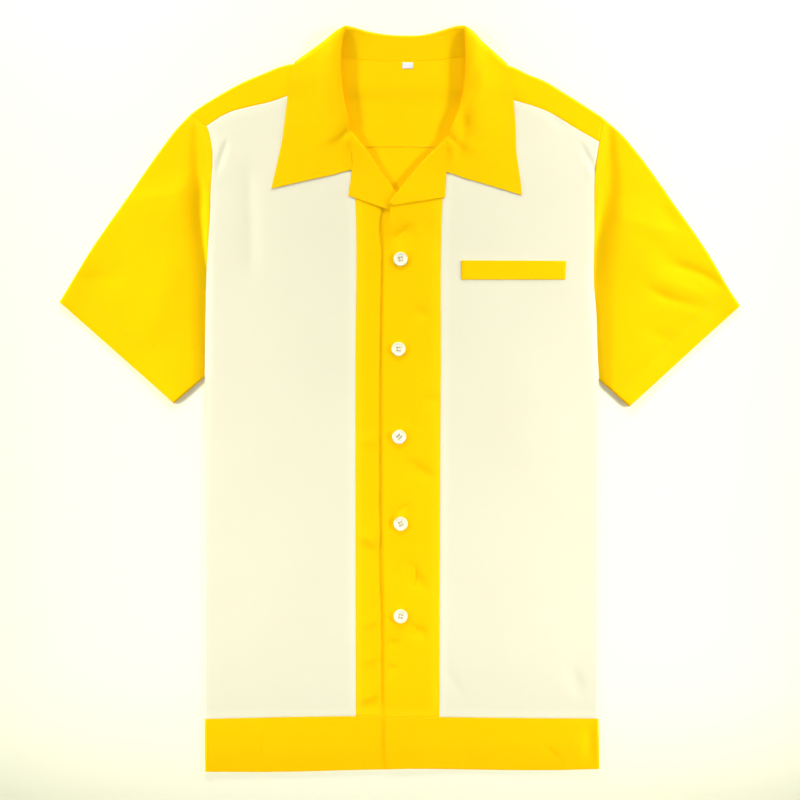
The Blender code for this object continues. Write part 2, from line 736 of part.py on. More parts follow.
def lapel_patch(side, start):
    """Plan of the turned-back lapel, from its roll to its free edges."""
    gorge = curve((start[0], side["lapel_gorge_end"]), LAPEL_ROWS)
    short = curve((start[-1], side["lapel_hem_point"]), LAPEL_ROWS)
    hem_columns = CENTRE_COLUMNS - LAPEL_NOTCH_COLUMNS + 1
    notch = curve((side["lapel_gorge_end"], side["lapel_corner"]), LAPEL_NOTCH_COLUMNS)
    hem = curve((side["lapel_corner"], side["lapel_hem_point"]), hem_columns)
    outer = np.concatenate((notch, hem[1:]))
    return coons(start, outer, gorge, short)


# -------------------------------------------------------------------- yoke
def shoulder_patch(side):
    """One shoulder of the yoke, from the back seam over the fold to the front seam."""
    columns = BODY_COLUMNS
    outline = curve(side["shoulder"], columns)
    neck_x = side["shoulder"][-1][0]
    seam = back_yoke_seam()
    seam_path = seam[seam[:, 0] * side["sign"] >= abs(neck_x)][:: -side["sign"]]
    back_arm = along(armhole_path(side), np.append(back_stops(side)[: YOKE_BACK_ROWS][::-1], 0.0))
    back_arm[0] = seam_path[0]
    neck_line = curve((seam_path[-1], side["shoulder"][-1]), YOKE_BACK_ROWS + 1)
    back = coons(curve(seam_path, columns), outline, back_arm, neck_line)
    front_arm = along(armhole_path(side), np.append(0.0, front_stops(side)[:YOKE_FRONT_ROWS]))
    front_arm[-1] = side["yoke_front"][0]
    front = coons(
        outline,
        curve(side["yoke_front"], columns),
        front_arm,
        curve(side["neck_yoke"], YOKE_FRONT_ROWS + 1),
    )
    lines = [shoulder_column(back[::-1, j], front[:, j], side) for j in range(columns)]
    return np.array(lines).transpose(1, 0, 2)


def shoulder_column(back, front, side):
    """One line of cloth over the shoulder: back layer, bend, front layer."""
    bend = fold_offsets()
    under = along(back, np.concatenate((bend, rest_of(back, bend[-1]))))
    over = along(front, np.concatenate((bend, rest_of(front, bend[-1]))))
    under_z = back_mid(under[:, 0], under[:, 1])
    over_z = front_mid(over[:, 0], over[:, 1], side)
    low, high = under_z[len(bend) - 1], over_z[len(bend) - 1]
    middle = (low + high) / 2
    rise = np.sin(np.radians(FOLD_ANGLES))
    under_z[: len(bend)] = middle + (low - middle) * rise
    over_z[: len(bend)] = middle + (high - middle) * rise
    under = with_height(under, under_z)
    over = with_height(over, over_z)
    return np.concatenate((under[::-1], over[1:]))


def rest_of(path, bend_end):
    """Distances of a line's own vertices beyond its bend."""
    lengths = chord_lengths(path)
    share = (lengths[2:] - lengths[1]) / (lengths[-1] - lengths[1])
    return bend_end + share * (lengths[-1] - bend_end)


def yoke_grids():
    """Both shoulders and the back of the neck between them."""
    right = shoulder_patch(RIGHT)
    left = shoulder_patch(LEFT)
    rows = YOKE_BACK_ROWS
    flat = rows + len(FOLD_ANGLES) - 1
    right_edge = right[:rows, -1, :2]
    left_edge = left[:rows, -1, :2]
    seam = back_yoke_seam()
    keep = np.abs(seam[:, 0]) < YOKE_NECK_REACH
    bottom = curve(seam[keep], YOKE_NECK_COLUMNS)
    neck = np.array(NECK_SEAM_BACK)
    neck[0], neck[-1] = right_edge[-1], left_edge[-1]
    middle = coons(bottom, curve(neck, YOKE_NECK_COLUMNS), right_edge, left_edge)
    middle = with_height(middle, back_mid(middle[..., 0], middle[..., 1]))
    middle[:, 0], middle[:, -1] = right[:rows, -1], left[:rows, -1]
    grids = [middle, right, left]
    grids = [pulled_in(grid, ("bottom",)) for grid in grids]
    grids[0][:, 0], grids[0][:, -1] = grids[1][:rows, -1], grids[2][:rows, -1]
    grids[0][-1, 1:-1] = pulled_in(grids[0], ("top",))[-1, 1:-1]
    for k in (1, 2):
        grids[k] = pulled_in(grids[k], ("top", "left"))
        edge = pulled_in(grids[k], ("right",))
        grids[k][flat:, -1] = edge[flat:, -1]
    return grids


# ------------------------------------------------------------------ sleeves
def sleeve_grid(side):
    """A flattened tube from the armhole to the cuff, in closed sections."""
    top = curve(side["sleeve_top"], SLEEVE_STATIONS)
    under = curve(side["underarm"], SLEEVE_STATIONS)
    armhole = armhole_path(side)
    cuff = curve((side["sleeve_top"][-1], side["underarm"][-1]), ARMHOLE_SAMPLES)
    plan = coons(top, under, armhole, cuff)
    full = chord_lengths(armhole)[-1]
    stations = [sleeve_section(plan[:, k], side, full) for k in range(SLEEVE_STATIONS)]
    return pulled_in(np.array(stations), ("bottom",))


def sleeve_layer(path, stops, full, mid):
    """Plan and height of one layer of a sleeve section, with its bends at both ends."""
    bend = fold_offsets()
    length = chord_lengths(path)[-1]
    scale = (length - 2 * bend[-1]) / (full - 2 * bend[-1])
    flat = bend[-1] + (stops - bend[-1]) * scale
    plan = along(path, np.concatenate((bend[:-1], flat, length - bend[:-1][::-1])))
    return with_height(plan, mid(plan[:, 0], plan[:, 1]))


def sleeve_section(path, side, full):
    """Closed section of a sleeve: the front layer, then the back layer returning."""
    over = sleeve_layer(path, front_stops(side), full, lambda x, y: front_mid(x, y, side))
    under = sleeve_layer(path, back_stops(side), full, back_mid)
    bent = len(FOLD_ANGLES)
    rise = np.sin(np.radians(FOLD_ANGLES))
    top_middle = (over[bent - 1, 2] + under[bent - 1, 2]) / 2
    low_middle = (over[-bent, 2] + under[-bent, 2]) / 2
    for layer in (over, under):
        layer[:bent, 2] = top_middle + (layer[bent - 1, 2] - top_middle) * rise
        layer[-bent:, 2] = low_middle + (layer[-bent, 2] - low_middle) * rise[::-1]
    return np.concatenate((over, under[1:-1][::-1]))


# ------------------------------------------------------------------- collar
def collar_section(row, side):
    """Control points of one section: neck seam, roll, fall and outer edge."""
    roll = np.array((row["roll_x"], row["roll_y"], row["roll_z"]))
    bearing, tilt = np.radians(row["bearing"]), np.radians(row["tilt"])
    apex = np.array((np.cos(bearing), np.sin(bearing), 0.0))
    flat = np.array((-apex[1], apex[0], 0.0)) * -side["sign"]
    across = flat * np.cos(tilt) + np.array((0.0, 0.0, np.sin(tilt)))
    points = []
    for angle in np.radians(COLLAR_ROLL_ANGLES):
        depth = row["depth"] * row["radius"] * (1 - np.cos(angle))
        points.append(roll - apex * depth + across * row["radius"] * np.sin(angle))
    edge = np.array((row["edge_x"], row["edge_y"], 0.0))
    on_front = 0.5 + 0.5 * np.sin(tilt) if row["depth"] == 1.0 else 1.0
    lying = front_mid(edge[0], edge[1], side) + LEAF_LIFT
    edge[2] = on_front * lying + (1 - on_front) * BACK_MID
    middle = points[-1] + FALL_MIDDLE * (edge - points[-1])
    middle[2] = edge[2] + FALL_SAG * on_front * (points[-1][2] - edge[2])
    neck = np.array((row["neck_x"], row["neck_y"], neck_height(row, side)))
    return np.array([neck] + points + [middle, edge])


def neck_height(row, side):
    """Height of the collar's neck seam, set by the piece that it is sewn to."""
    x, y = row["neck_x"], row["neck_y"]
    if row["seat"] == "back":
        return back_mid(x, y)
    if row["seat"] == "shoulder":
        return (back_mid(x, y) + front_mid(x, y, side)) / 2
    if row["seat"] == "front":
        return front_mid(x, y, side)
    roll = lapel_roll_height()
    start = lapel_foot(side)
    foot = front_mid(start[:, 0], start[:, 1], side)
    if row["seat"] == "roll":
        return foot[0] + roll[0]
    return float(lapel_height(np.array([[(x, y)]]), side, start, foot, 2 * roll)[0, 0])


def collar_grid():
    """The collar as a loft through its sections, kept above the table."""
    sections = []
    for values in COLLAR_SECTIONS:
        row = dict(zip(COLLAR_COLUMNS, values))
        sections.append(collar_section(row, RIGHT if row["roll_x"] < 0 else LEFT))
    sections = np.array(sections)
    count = len(sections)
    spacing = chord_lengths(sections.reshape(count, -1))
    places = np.arange((count - 1) * COLLAR_ROWS_PER_SECTION + 1) / COLLAR_ROWS_PER_SECTION
    at = np.interp(places, np.arange(count), spacing)
    dense = spline(sections.reshape(count, -1), at).reshape(len(at), -1, 3)
    grid = np.array([across_section(points) for points in dense])
    grid[..., 2] = np.maximum(grid[..., 2], BACK_MID)
    step = grid[:, 1] - grid[:, 0]
    grid[:, 0] += COLLAR_NECK_CLEARANCE * step / np.linalg.norm(step, axis=-1, keepdims=True)
    return grid


def across_section(points):
    """One smooth line of cloth across the collar, from the neck seam to the edge."""
    knots = chord_lengths(points)
    at = [knots[0]]
    for k, steps in enumerate(COLLAR_STEPS):
        at.extend(np.linspace(knots[k], knots[k + 1], steps + 1)[1:])
    return spline(points, np.array(at))


# ------------------------------------------------------------- small pieces
def patch_on(piece, mid):
    """A four-sided piece that lies on the cloth below it."""
    corners = piece["corners"]
    lift = WALL / 2 + SEAM_GAP + piece["wall"] / 2
    bottom = curve(corners[:2], piece["columns"])
    top = curve(corners[:1:-1], piece["columns"])
    left = curve((corners[0], corners[3]), piece["rows"])
    right = curve((corners[1], corners[2]), piece["rows"])
    plan = coons(bottom, top, left, right)
    return with_height(plan, mid(plan[..., 0], plan[..., 1]) + lift)


def welt_grid():
    return patch_on(WELT, lambda x, y: front_mid(x, y, LEFT))


def label_grid():
    return patch_on(LABEL, back_mid)


def add_button(number, place, material, collection):
    """A four-hole button lying on the placket."""
    name = f"button_{number}"
    x, y = place
    turn = np.linspace(0, 2 * np.pi, BUTTON["segments"], endpoint=False)
    reach = BUTTON["radius"]
    around = front_mid(x + reach * np.cos(turn), y + reach * np.sin(turn), LEFT)
    base = max(around.max(), float(front_mid(x, y, LEFT))) + WALL / 2 + SEAM_GAP
    build = bmesh.new()
    rings = []
    for radius, height in BUTTON_OUTLINE:
        ring = []
        for angle in turn:
            point = (x + radius * np.cos(angle), y + radius * np.sin(angle), base + height)
            ring.append(build.verts.new([value * MM for value in point]))
        rings.append(ring)
    count = len(turn)
    for low, high in zip(rings, rings[1:]):
        for k in range(count):
            build.faces.new((low[k], low[(k + 1) % count], high[(k + 1) % count], high[k]))
    holes = button_holes(build, x, y, base)
    cap_with_holes(build, rings[-1], [hole[1] for hole in holes])
    cap_with_holes(build, rings[0], [hole[0] for hole in holes])
    bmesh.ops.recalc_face_normals(build, faces=build.faces)
    mesh = bpy.data.meshes.new(name)
    build.to_mesh(mesh)
    build.free()
    mesh.materials.append(material)
    button = bpy.data.objects.new(name, mesh)
    collection.objects.link(button)
    return button


def button_holes(build, x, y, base):
    """Walls of the four thread holes; returns the rim rings of each."""
    holes = []
    step = 2 * np.pi / BUTTON["hole_segments"]
    for side_x in (-1, 1):
        for side_y in (-1, 1):
            rings = []
            for height in (0.0, BUTTON["dish_height"]):
                ring = []
                for k in range(BUTTON["hole_segments"]):
                    hole_x = x + side_x * BUTTON["hole_offset"] + BUTTON["hole_radius"] * np.cos(k * step)
                    hole_y = y + side_y * BUTTON["hole_offset"] + BUTTON["hole_radius"] * np.sin(k * step)
                    ring.append(build.verts.new((hole_x * MM, hole_y * MM, (base + height) * MM)))
                rings.append(ring)
            low, high = rings
            for k in range(len(low)):
                n = (k + 1) % len(low)
                build.faces.new((low[n], low[k], high[k], high[n]))
            holes.append(rings)
    return holes


def cap_with_holes(build, outline, holes):
    """Fills the flat face between an outline and the holes inside it."""
    edges = []
    for ring in [outline] + holes:
        for k in range(len(ring)):
            pair = (ring[k], ring[(k + 1) % len(ring)])
            edges.append(build.edges.get(pair) or build.edges.new(pair))
    bmesh.ops.triangle_fill(build, use_beauty=True, use_dissolve=False, edges=edges)


# ---------------------------------------------------------------- materials
def make_material(name, colour, roughness):
    material = bpy.data.materials.new(name)
    material.use_nodes = True
    shader = material.node_tree.nodes["Principled BSDF"]
    shader.inputs["Base Color"].default_value = (*colour, 1.0)
    shader.inputs["Roughness"].default_value = roughness
    shader.inputs["Metallic"].default_value = 0.0
    return material


def clear_scene():
    for item in list(bpy.data.objects):
        bpy.data.objects.remove(item, do_unlink=True)


def build_shirt():
    """Every piece of the shirt, each an object of its own."""
    clear_scene()
    collection = bpy.data.collections.new("bowling_shirt")
    bpy.context.scene.collection.children.link(collection)
    yellow = make_material("yellow_poplin", YELLOW, CLOTH_ROUGHNESS)
    cream = make_material("cream_poplin", CREAM, CLOTH_ROUGHNESS)
    ivory = make_material("ivory_button", IVORY, BUTTON_ROUGHNESS)
    white = make_material("white_label", LABEL_WHITE, LABEL_ROUGHNESS)
    add_sheet("back_panel", [back_panel()], yellow, collection)
    add_sheet("back_hem_band", [back_band()], yellow, collection)
    add_sheet("yoke", yoke_grids(), yellow, collection)
    for word, side in (("right", RIGHT), ("left", LEFT)):
        add_sheet(f"front_side_panel_{word}", [side_panel(side)], cream, collection)
        add_sheet(f"front_centre_panel_{word}", [centre_panel(side)], yellow, collection)
        add_sheet(f"front_hem_band_{word}", [front_band(side)], yellow, collection)
        add_sheet(f"sleeve_{word}", [sleeve_grid(side)], yellow, collection, ring=True)
    add_sheet("collar", [collar_grid()], yellow, collection, even=False)
    add_sheet("chest_welt", [welt_grid()], yellow, collection, WELT["wall"])
    add_sheet("neck_label", [label_grid()], white, collection, LABEL["wall"])
    for number, place in enumerate(BUTTONS, 1):
        add_button(number, place, ivory, collection)


build_shirt()
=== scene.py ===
"""Looks of the short-sleeved bowling shirt: cotton poplin laid flat, front up.

+X is the wearer's left, +Y runs from the hem to the collar, +Z is up from the floor.
Sizes are millimetres; they become metres when a mesh is made.
"""

import math

import bmesh
import bpy
import numpy as np
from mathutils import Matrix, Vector


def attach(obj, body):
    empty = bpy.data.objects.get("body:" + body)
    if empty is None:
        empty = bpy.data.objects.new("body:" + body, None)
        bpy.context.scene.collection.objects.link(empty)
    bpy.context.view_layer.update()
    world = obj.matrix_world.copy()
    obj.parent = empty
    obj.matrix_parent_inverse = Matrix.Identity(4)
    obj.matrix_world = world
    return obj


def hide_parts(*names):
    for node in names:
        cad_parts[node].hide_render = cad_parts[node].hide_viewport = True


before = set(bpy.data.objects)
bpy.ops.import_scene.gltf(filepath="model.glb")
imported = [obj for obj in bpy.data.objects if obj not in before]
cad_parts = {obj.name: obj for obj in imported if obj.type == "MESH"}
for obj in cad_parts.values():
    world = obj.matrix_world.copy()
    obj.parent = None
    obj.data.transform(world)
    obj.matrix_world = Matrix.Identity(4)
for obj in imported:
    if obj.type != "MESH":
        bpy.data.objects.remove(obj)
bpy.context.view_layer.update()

MM = 0.001

# ---- cloth and layers; the solids' wall is 1 mm, and the cloth follows its outer faces
WALL = 1.0
SINGLE = 0.5
DOUBLE = 0.9
SEAM_GAP = 0.08
NECK_GAP = 0.03
BACK_MID = WALL / 2
FRONT_MID = 3.2
LAYER_STEP = 1.4
LEAF_LIFT = 1.3
SPLIT = (BACK_MID + FRONT_MID) / 2
FOLD_DEPTH = 2.0
FOLD_ANGLES = tuple(np.linspace(0.0, 90.0, 10))
SIDE_SEAM_GAP = 0.6
SIDE_FOLD_START = 10.0
LEAST_MID = 0.95

# ---- the collar's fall lies under the yoke and lifts it
FALL_LIFT = 1.4
FALL_HALF_WIDTH = 114.0
FALL_LIFT_END = 142.0
FALL_LIFT_LOW = 313.0
FALL_LIFT_HIGH = 331.0

# ---- front overlap
UNDER_DROP = 0.7
TOP_RAISE = 0.7
OVERLAP_FLAT = 20.0
OVERLAP_END = 46.0
CROSSING = {"x": 0.0, "y": 208.0, "spread": 20.0, "raise": 2.4}

# ---- outlines; every pair is (x, y)
BAND_TOP_BACK = ((-206.5, -339.0), (0.0, -337.0), (210.5, -338.5))
HEM_BACK = ((-206.0, -395.0), (-144.0, -395.3), (0.0, -392.3), (169.0, -393.3), (211.5, -392.0))
YOKE_SEAM_BACK = ((-86.0, 265.7), (0.0, 267.0), (91.8, 264.5))
NECK_SEAM_BACK = (
    (-86.0, 359.4),
    (-81.0, 361.6),
    (-72.0, 361.8),
    (-60.0, 361.0),
    (-33.0, 358.7),
    (0.0, 358.0),
    (36.0, 358.7),
    (66.0, 362.2),
    (76.0, 363.0),
    (86.0, 362.4),
    (91.8, 359.9),
)

RIGHT = {
    "sign": -1,
    "shoulder": (
        (-222.0, 301.0),
        (-209.5, 310.0),
        (-195.0, 319.0),
        (-164.0, 336.0),
        (-145.0, 344.0),
        (-126.0, 351.5),
        (-116.0, 354.0),
        (-106.0, 354.5),
        (-96.0, 358.0),
        (-86.0, 362.0),
    ),
    "sleeve_top": (
        (-222.0, 301.0),
        (-237.0, 285.0),
        (-253.0, 264.0),
        (-290.0, 211.0),
        (-327.0, 158.0),
        (-360.5, 102.5),
    ),
    "armhole": (
        (-222.0, 301.0),
        (-204.5, 288.5),
        (-199.5, 271.0),
        (-200.0, 221.0),
        (-201.5, 184.0),
        (-204.5, 136.0),
        (-206.0, 73.0),
        (-206.5, 23.5),
    ),
    "underarm": ((-206.5, 23.5), (-239.0, -5.0)),
    "side": ((-206.5, -339.0), (-206.5, -150.0), (-206.5, 23.5)),
    "band_side": ((-206.0, -395.0), (-206.5, -339.0)),
    "yoke_front": (
        (-204.5, 288.5),
        (-193.0, 296.5),
        (-181.0, 303.0),
        (-161.5, 308.5),
        (-133.0, 315.5),
        (-118.5, 321.0),
        (-74.5, 334.0),
    ),
    "back_seam_y": 264.5,
    "neck_yoke": ((-86.0, 362.0), (-80.0, 347.5), (-74.5, 334.0)),
    "neck_front": ((-74.5, 334.0), (-69.5, 320.0), (-65.0, 303.0), (-59.5, 288.0), (-52.0, 280.0)),
    "princess": ((-46.5, -336.0), (-47.0, 23.0), (-47.0, 211.0), (-49.0, 253.0), (-52.0, 280.0)),
    "front_edge": ((16.5, -337.0), (16.5, 23.0), (15.5, 189.5)),
    "band_front_edge": ((16.5, -392.0), (16.5, -337.0)),
    "band_side_top": ((-206.5, -339.0), (-130.0, -337.2), (-46.5, -336.0)),
    "band_centre_top": ((-46.5, -336.0), (16.5, -337.0)),
    "hem": ((-206.0, -395.0), (-144.0, -395.3), (-46.5, -393.3), (16.5, -392.0)),
    "lapel_fold": (
        (-52.0, 284.0),
        (-43.0, 272.5),
        (-37.0, 265.5),
        (-24.0, 246.5),
        (-14.5, 233.5),
        (-5.0, 220.0),
        (16.0, 191.0),
    ),
    "lapel_gorge_end": (-50.0, 242.5),
    "lapel_corner": (-54.5, 215.0),
    "lapel_hem_point": (2.0, 195.5),
}
LEFT = {
    "sign": 1,
    "shoulder": (
        (214.5, 298.0),
        (196.0, 310.0),
        (170.0, 326.5),
        (152.0, 337.0),
        (137.0, 343.0),
        (117.0, 352.0),
        (108.0, 353.6),
        (100.0, 357.5),
        (91.8, 362.5),
    ),
    "sleeve_top": (
        (214.5, 298.0),
        (233.5, 281.5),
        (254.5, 256.5),
        (287.5, 210.5),
        (324.5, 157.5),
        (356.5, 104.5),
        (360.5, 98.5),
    ),
    "armhole": (
        (214.5, 298.0),
        (211.0, 272.0),
        (207.0, 242.0),
        (206.0, 179.0),
        (206.0, 115.0),
        (208.0, 94.0),
        (209.0, 62.0),
        (211.0, 20.5),
    ),
    "underarm": ((211.2, 20.3), (243.0, -8.5)),
    "side": ((210.5, -338.5), (210.0, -150.0), (210.6, 20.5)),
    "band_side": ((211.5, -392.0), (210.5, -338.5)),
    "yoke_front": (
        (211.0, 272.0),
        (187.0, 286.0),
        (161.0, 302.0),
        (140.0, 310.5),
        (121.0, 316.0),
        (79.5, 333.0),
    ),
    "back_seam_y": 263.5,
    "neck_yoke": ((91.8, 362.5), (86.0, 347.5), (79.5, 333.0)),
    "neck_front": ((79.5, 333.0), (73.5, 316.0), (67.5, 299.0), (60.0, 283.5), (51.5, 274.0)),
    "princess": ((42.0, -337.0), (43.5, 23.0), (45.5, 211.0), (48.0, 250.0), (51.5, 274.0)),
    "front_edge": (
        (-15.6, -337.3),
        (-15.6, -256.0),
        (-17.0, -171.0),
        (-17.8, -1.0),
        (-16.7, 105.0),
        (-14.6, 168.0),
        (-11.2, 200.0),
    ),
    "band_front_edge": ((-14.6, -392.5), (-15.6, -337.3)),
    "band_side_top": ((210.5, -338.5), (130.0, -338.0), (42.0, -337.0)),
    "band_centre_top": ((42.0, -337.0), (-15.6, -337.3)),
    "hem": ((211.5, -392.0), (169.0, -393.3), (42.0, -391.2), (-14.6, -392.5)),
    "lapel_fold": (
        (51.5, 278.0),
        (37.5, 264.5),
        (23.5, 251.0),
        (11.0, 236.0),
        (-4.0, 217.0),
        (-9.0, 210.0),
        (-10.6, 206.0),
    ),
    "lapel_gorge_end": (49.5, 240.0),
    "lapel_corner": (48.0, 213.0),
    "lapel_hem_point": (-7.9, 204.8),
}

# half the height of the lapel's roll along its fold, from the gorge to the break
LAPEL_ROLL = ((0.0, 2.4), (0.35, 1.15), (0.7, 0.72), (1.0, 0.7))
LAPEL_ROLL_SLOPE = 1.1
LAPEL_SETTLE = 32.0
LAPEL_GORGE_SHARE = 0.25

# ---- soft folds in the front layer: from (x, y) to (x, y), half width, height
FRONT_FOLDS = (
    (-330.0, 120.0, -285.0, 140.0, 14.0, -0.8),
    (-270.0, 60.0, -235.0, 150.0, 16.0, 0.9),
    (258.0, 140.0, 320.0, 90.0, 12.0, 0.9),
    (250.0, 180.0, 310.0, 130.0, 9.0, -0.6),
    (-168.0, 240.0, -160.0, 140.0, 12.0, -0.7),
    (-178.0, 282.0, -196.0, 232.0, 6.0, 0.7),
    (194.0, 272.0, 206.0, 228.0, 5.0, 0.6),
    (-140.0, 60.0, -90.0, -60.0, 30.0, 0.8),
    (110.0, 60.0, 150.0, -80.0, 32.0, 0.8),
    (-150.0, -250.0, -100.0, -160.0, 24.0, 0.5),
    (90.0, -250.0, 150.0, -190.0, 24.0, 0.5),
    (-145.0, -345.0, -143.0, -394.0, 4.0, 0.8),
)
FOLD_TAPER = 0.35

# ---- small pieces
WELT = {
    "corners": ((65.0, 126.0), (175.5, 126.0), (176.5, 146.0), (65.0, 146.5)),
    "wall": 1.2,
    "columns": 12,
    "rows": 4,
}
LABEL = {
    "corners": ((2.8, 349.6), (14.2, 349.6), (14.2, 356.2), (2.8, 356.2)),
    "wall": 0.6,
    "columns": 4,
    "rows": 3,
}
BUTTONS = ((0.8, 147.7), (-1.3, 52.5), (-0.6, -40.4), (1.0, -132.3), (0.9, -230.2))

# ---- collar sections, from the right gorge round the back of the neck to the left one
COLLAR_COLUMNS = (
    "neck_x",
    "neck_y",
    "seat",
    "roll_x",
    "roll_y",
    "roll_z",
    "edge_x",
    "edge_y",
    "bearing",
    "tilt",
    "radius",
    "depth",
)
COLLAR_SECTIONS = (
    (-50.5, 242.4, "lapel", -59.0, 240.4, 5.6, -136.0, 222.3, 103, 0, 4.0, 0.05),
    (-51.1, 262.0, "lapel", -60.0, 259.8, 8.0, -131.3, 242.5, 103, -8, 4.0, 0.05),
    (-51.5, 276.5, "lapel", -58.5, 275.6, 11.2, -127.0, 262.0, 100, -8, 3.6, 0.1),
    (-52.0, 283.2, "roll", -54.8, 286.0, 10.2, -124.2, 276.0, 50, 55, 2.6, 0.9),
    (-51.8, 281.9, "front", -54.0, 291.5, 9.4, -122.9, 286.0, 12, 88, 3.9, 1.0),
    (-58.6, 289.2, "front", -55.0, 298.0, 9.8, -121.9, 293.5, 11, 90, 4.0, 1.0),
    (-65.0, 303.0, "front", -56.8, 305.5, 10.4, -120.9, 301.5, 10, 90, 4.3, 1.0),
    (-69.5, 320.0, "front", -60.2, 324.0, 11.5, -119.2, 316.0, 8, 90, 4.8, 1.0),
    (-77.0, 340.0, "front", -62.2, 350.0, 12.5, -117.4, 333.0, 0, 90, 5.2, 1.0),
    (-83.0, 354.5, "front", -62.0, 370.0, 12.8, -114.6, 345.5, -4, 88, 5.0, 1.0),
    (-85.3, 360.2, "front", -60.0, 384.0, 11.6, -112.4, 352.5, 5, 70, 4.0, 1.0),
    (-85.6, 362.0, "shoulder", -57.0, 393.8, 9.6, -109.6, 357.2, 60, 0, 2.0, 1.0),
    (-81.0, 361.6, "back", -51.5, 393.4, 6.6, -106.0, 356.6, 75, -60, 2.2, 1.0),
    (-72.0, 361.8, "back", -45.5, 391.8, 4.6, -91.0, 344.0, 88, -85, 2.1, 1.0),
    (-60.0, 361.0, "back", -36.0, 389.2, 3.2, -70.0, 339.0, 92, -90, 1.8, 1.0),
    (-33.0, 358.7, "back", -18.0, 385.8, 2.3, -36.0, 336.5, 92, -90, 1.6, 1.0),
    (0.0, 358.0, "back", 1.0, 384.4, 2.2, 0.0, 336.0, 90, -90, 1.6, 1.0),
    (36.0, 358.7, "back", 26.0, 385.2, 2.3, 38.0, 337.0, 88, -90, 1.6, 1.0),
    (66.0, 362.2, "back", 45.5, 390.0, 3.2, 72.0, 340.0, 88, -90, 1.8, 1.0),
    (76.0, 363.0, "back", 56.0, 393.2, 4.6, 94.0, 345.0, 92, -85, 2.1, 1.0),
    (86.0, 362.4, "back", 62.5, 394.4, 6.6, 108.6, 355.2, 105, -60, 2.2, 1.0),
    (91.4, 362.4, "shoulder", 67.6, 394.0, 9.6, 112.2, 355.6, 120, 0, 2.0, 1.0),
    (91.0, 360.6, "front", 69.2, 383.5, 11.6, 115.0, 350.0, 175, 70, 4.0, 1.0),
    (88.6, 354.5, "front", 69.9, 368.0, 12.8, 117.2, 341.0, 184, 88, 5.0, 1.0),
    (82.5, 339.0, "front", 69.7, 347.0, 12.5, 119.6, 325.0, 178, 90, 5.2, 1.0),
    (73.5, 316.0, "front", 66.4, 320.5, 11.5, 121.3, 306.0, 165, 90, 4.8, 1.0),
    (67.5, 299.0, "front", 61.6, 303.5, 10.4, 122.4, 292.5, 160, 90, 4.3, 1.0),
    (58.8, 285.1, "front", 58.4, 295.0, 9.8, 122.8, 283.5, 159, 90, 4.0, 1.0),
    (51.4, 276.4, "front", 54.8, 286.0, 9.4, 123.0, 275.0, 158, 88, 3.9, 1.0),
    (51.5, 277.2, "roll", 54.0, 280.2, 10.2, 123.4, 263.0, 130, 55, 2.6, 0.9),
    (51.0, 270.5, "lapel", 57.5, 268.9, 11.2, 125.2, 249.0, 74, -8, 3.6, 0.1),
    (50.2, 257.0, "lapel", 59.0, 254.2, 8.0, 127.6, 232.5, 72, -8, 4.0, 0.05),
    (49.5, 240.0, "lapel", 58.0, 237.4, 5.6, 129.4, 215.4, 73, 0, 4.0, 0.05),
)
COLLAR_ROLL_ANGLES = (-90.0, -45.0, 0.0, 45.0, 90.0)
COLLAR_STEPS = (9, 3, 4, 4, 4, 4, 12, 16)
COLLAR_CROWDING = 1.9
COLLAR_END_GAP = 20.0
COLLAR_END_ROWS = 8
COLLAR_ROWS_PER_SECTION = 8
COLLAR_NECK_CLEARANCE = (0.0, 0.3)
# how far the worn-in roll settles: its height in the solid, and the share of it that is left
COLLAR_SETTLE = ((2.0, 0.8), (10.0, 0.74))
COLLAR_SLIM = 0.9
FALL_MIDDLE = 0.42
COLLAR_FALL_START = 0.3
FALL_SAG = 0.3

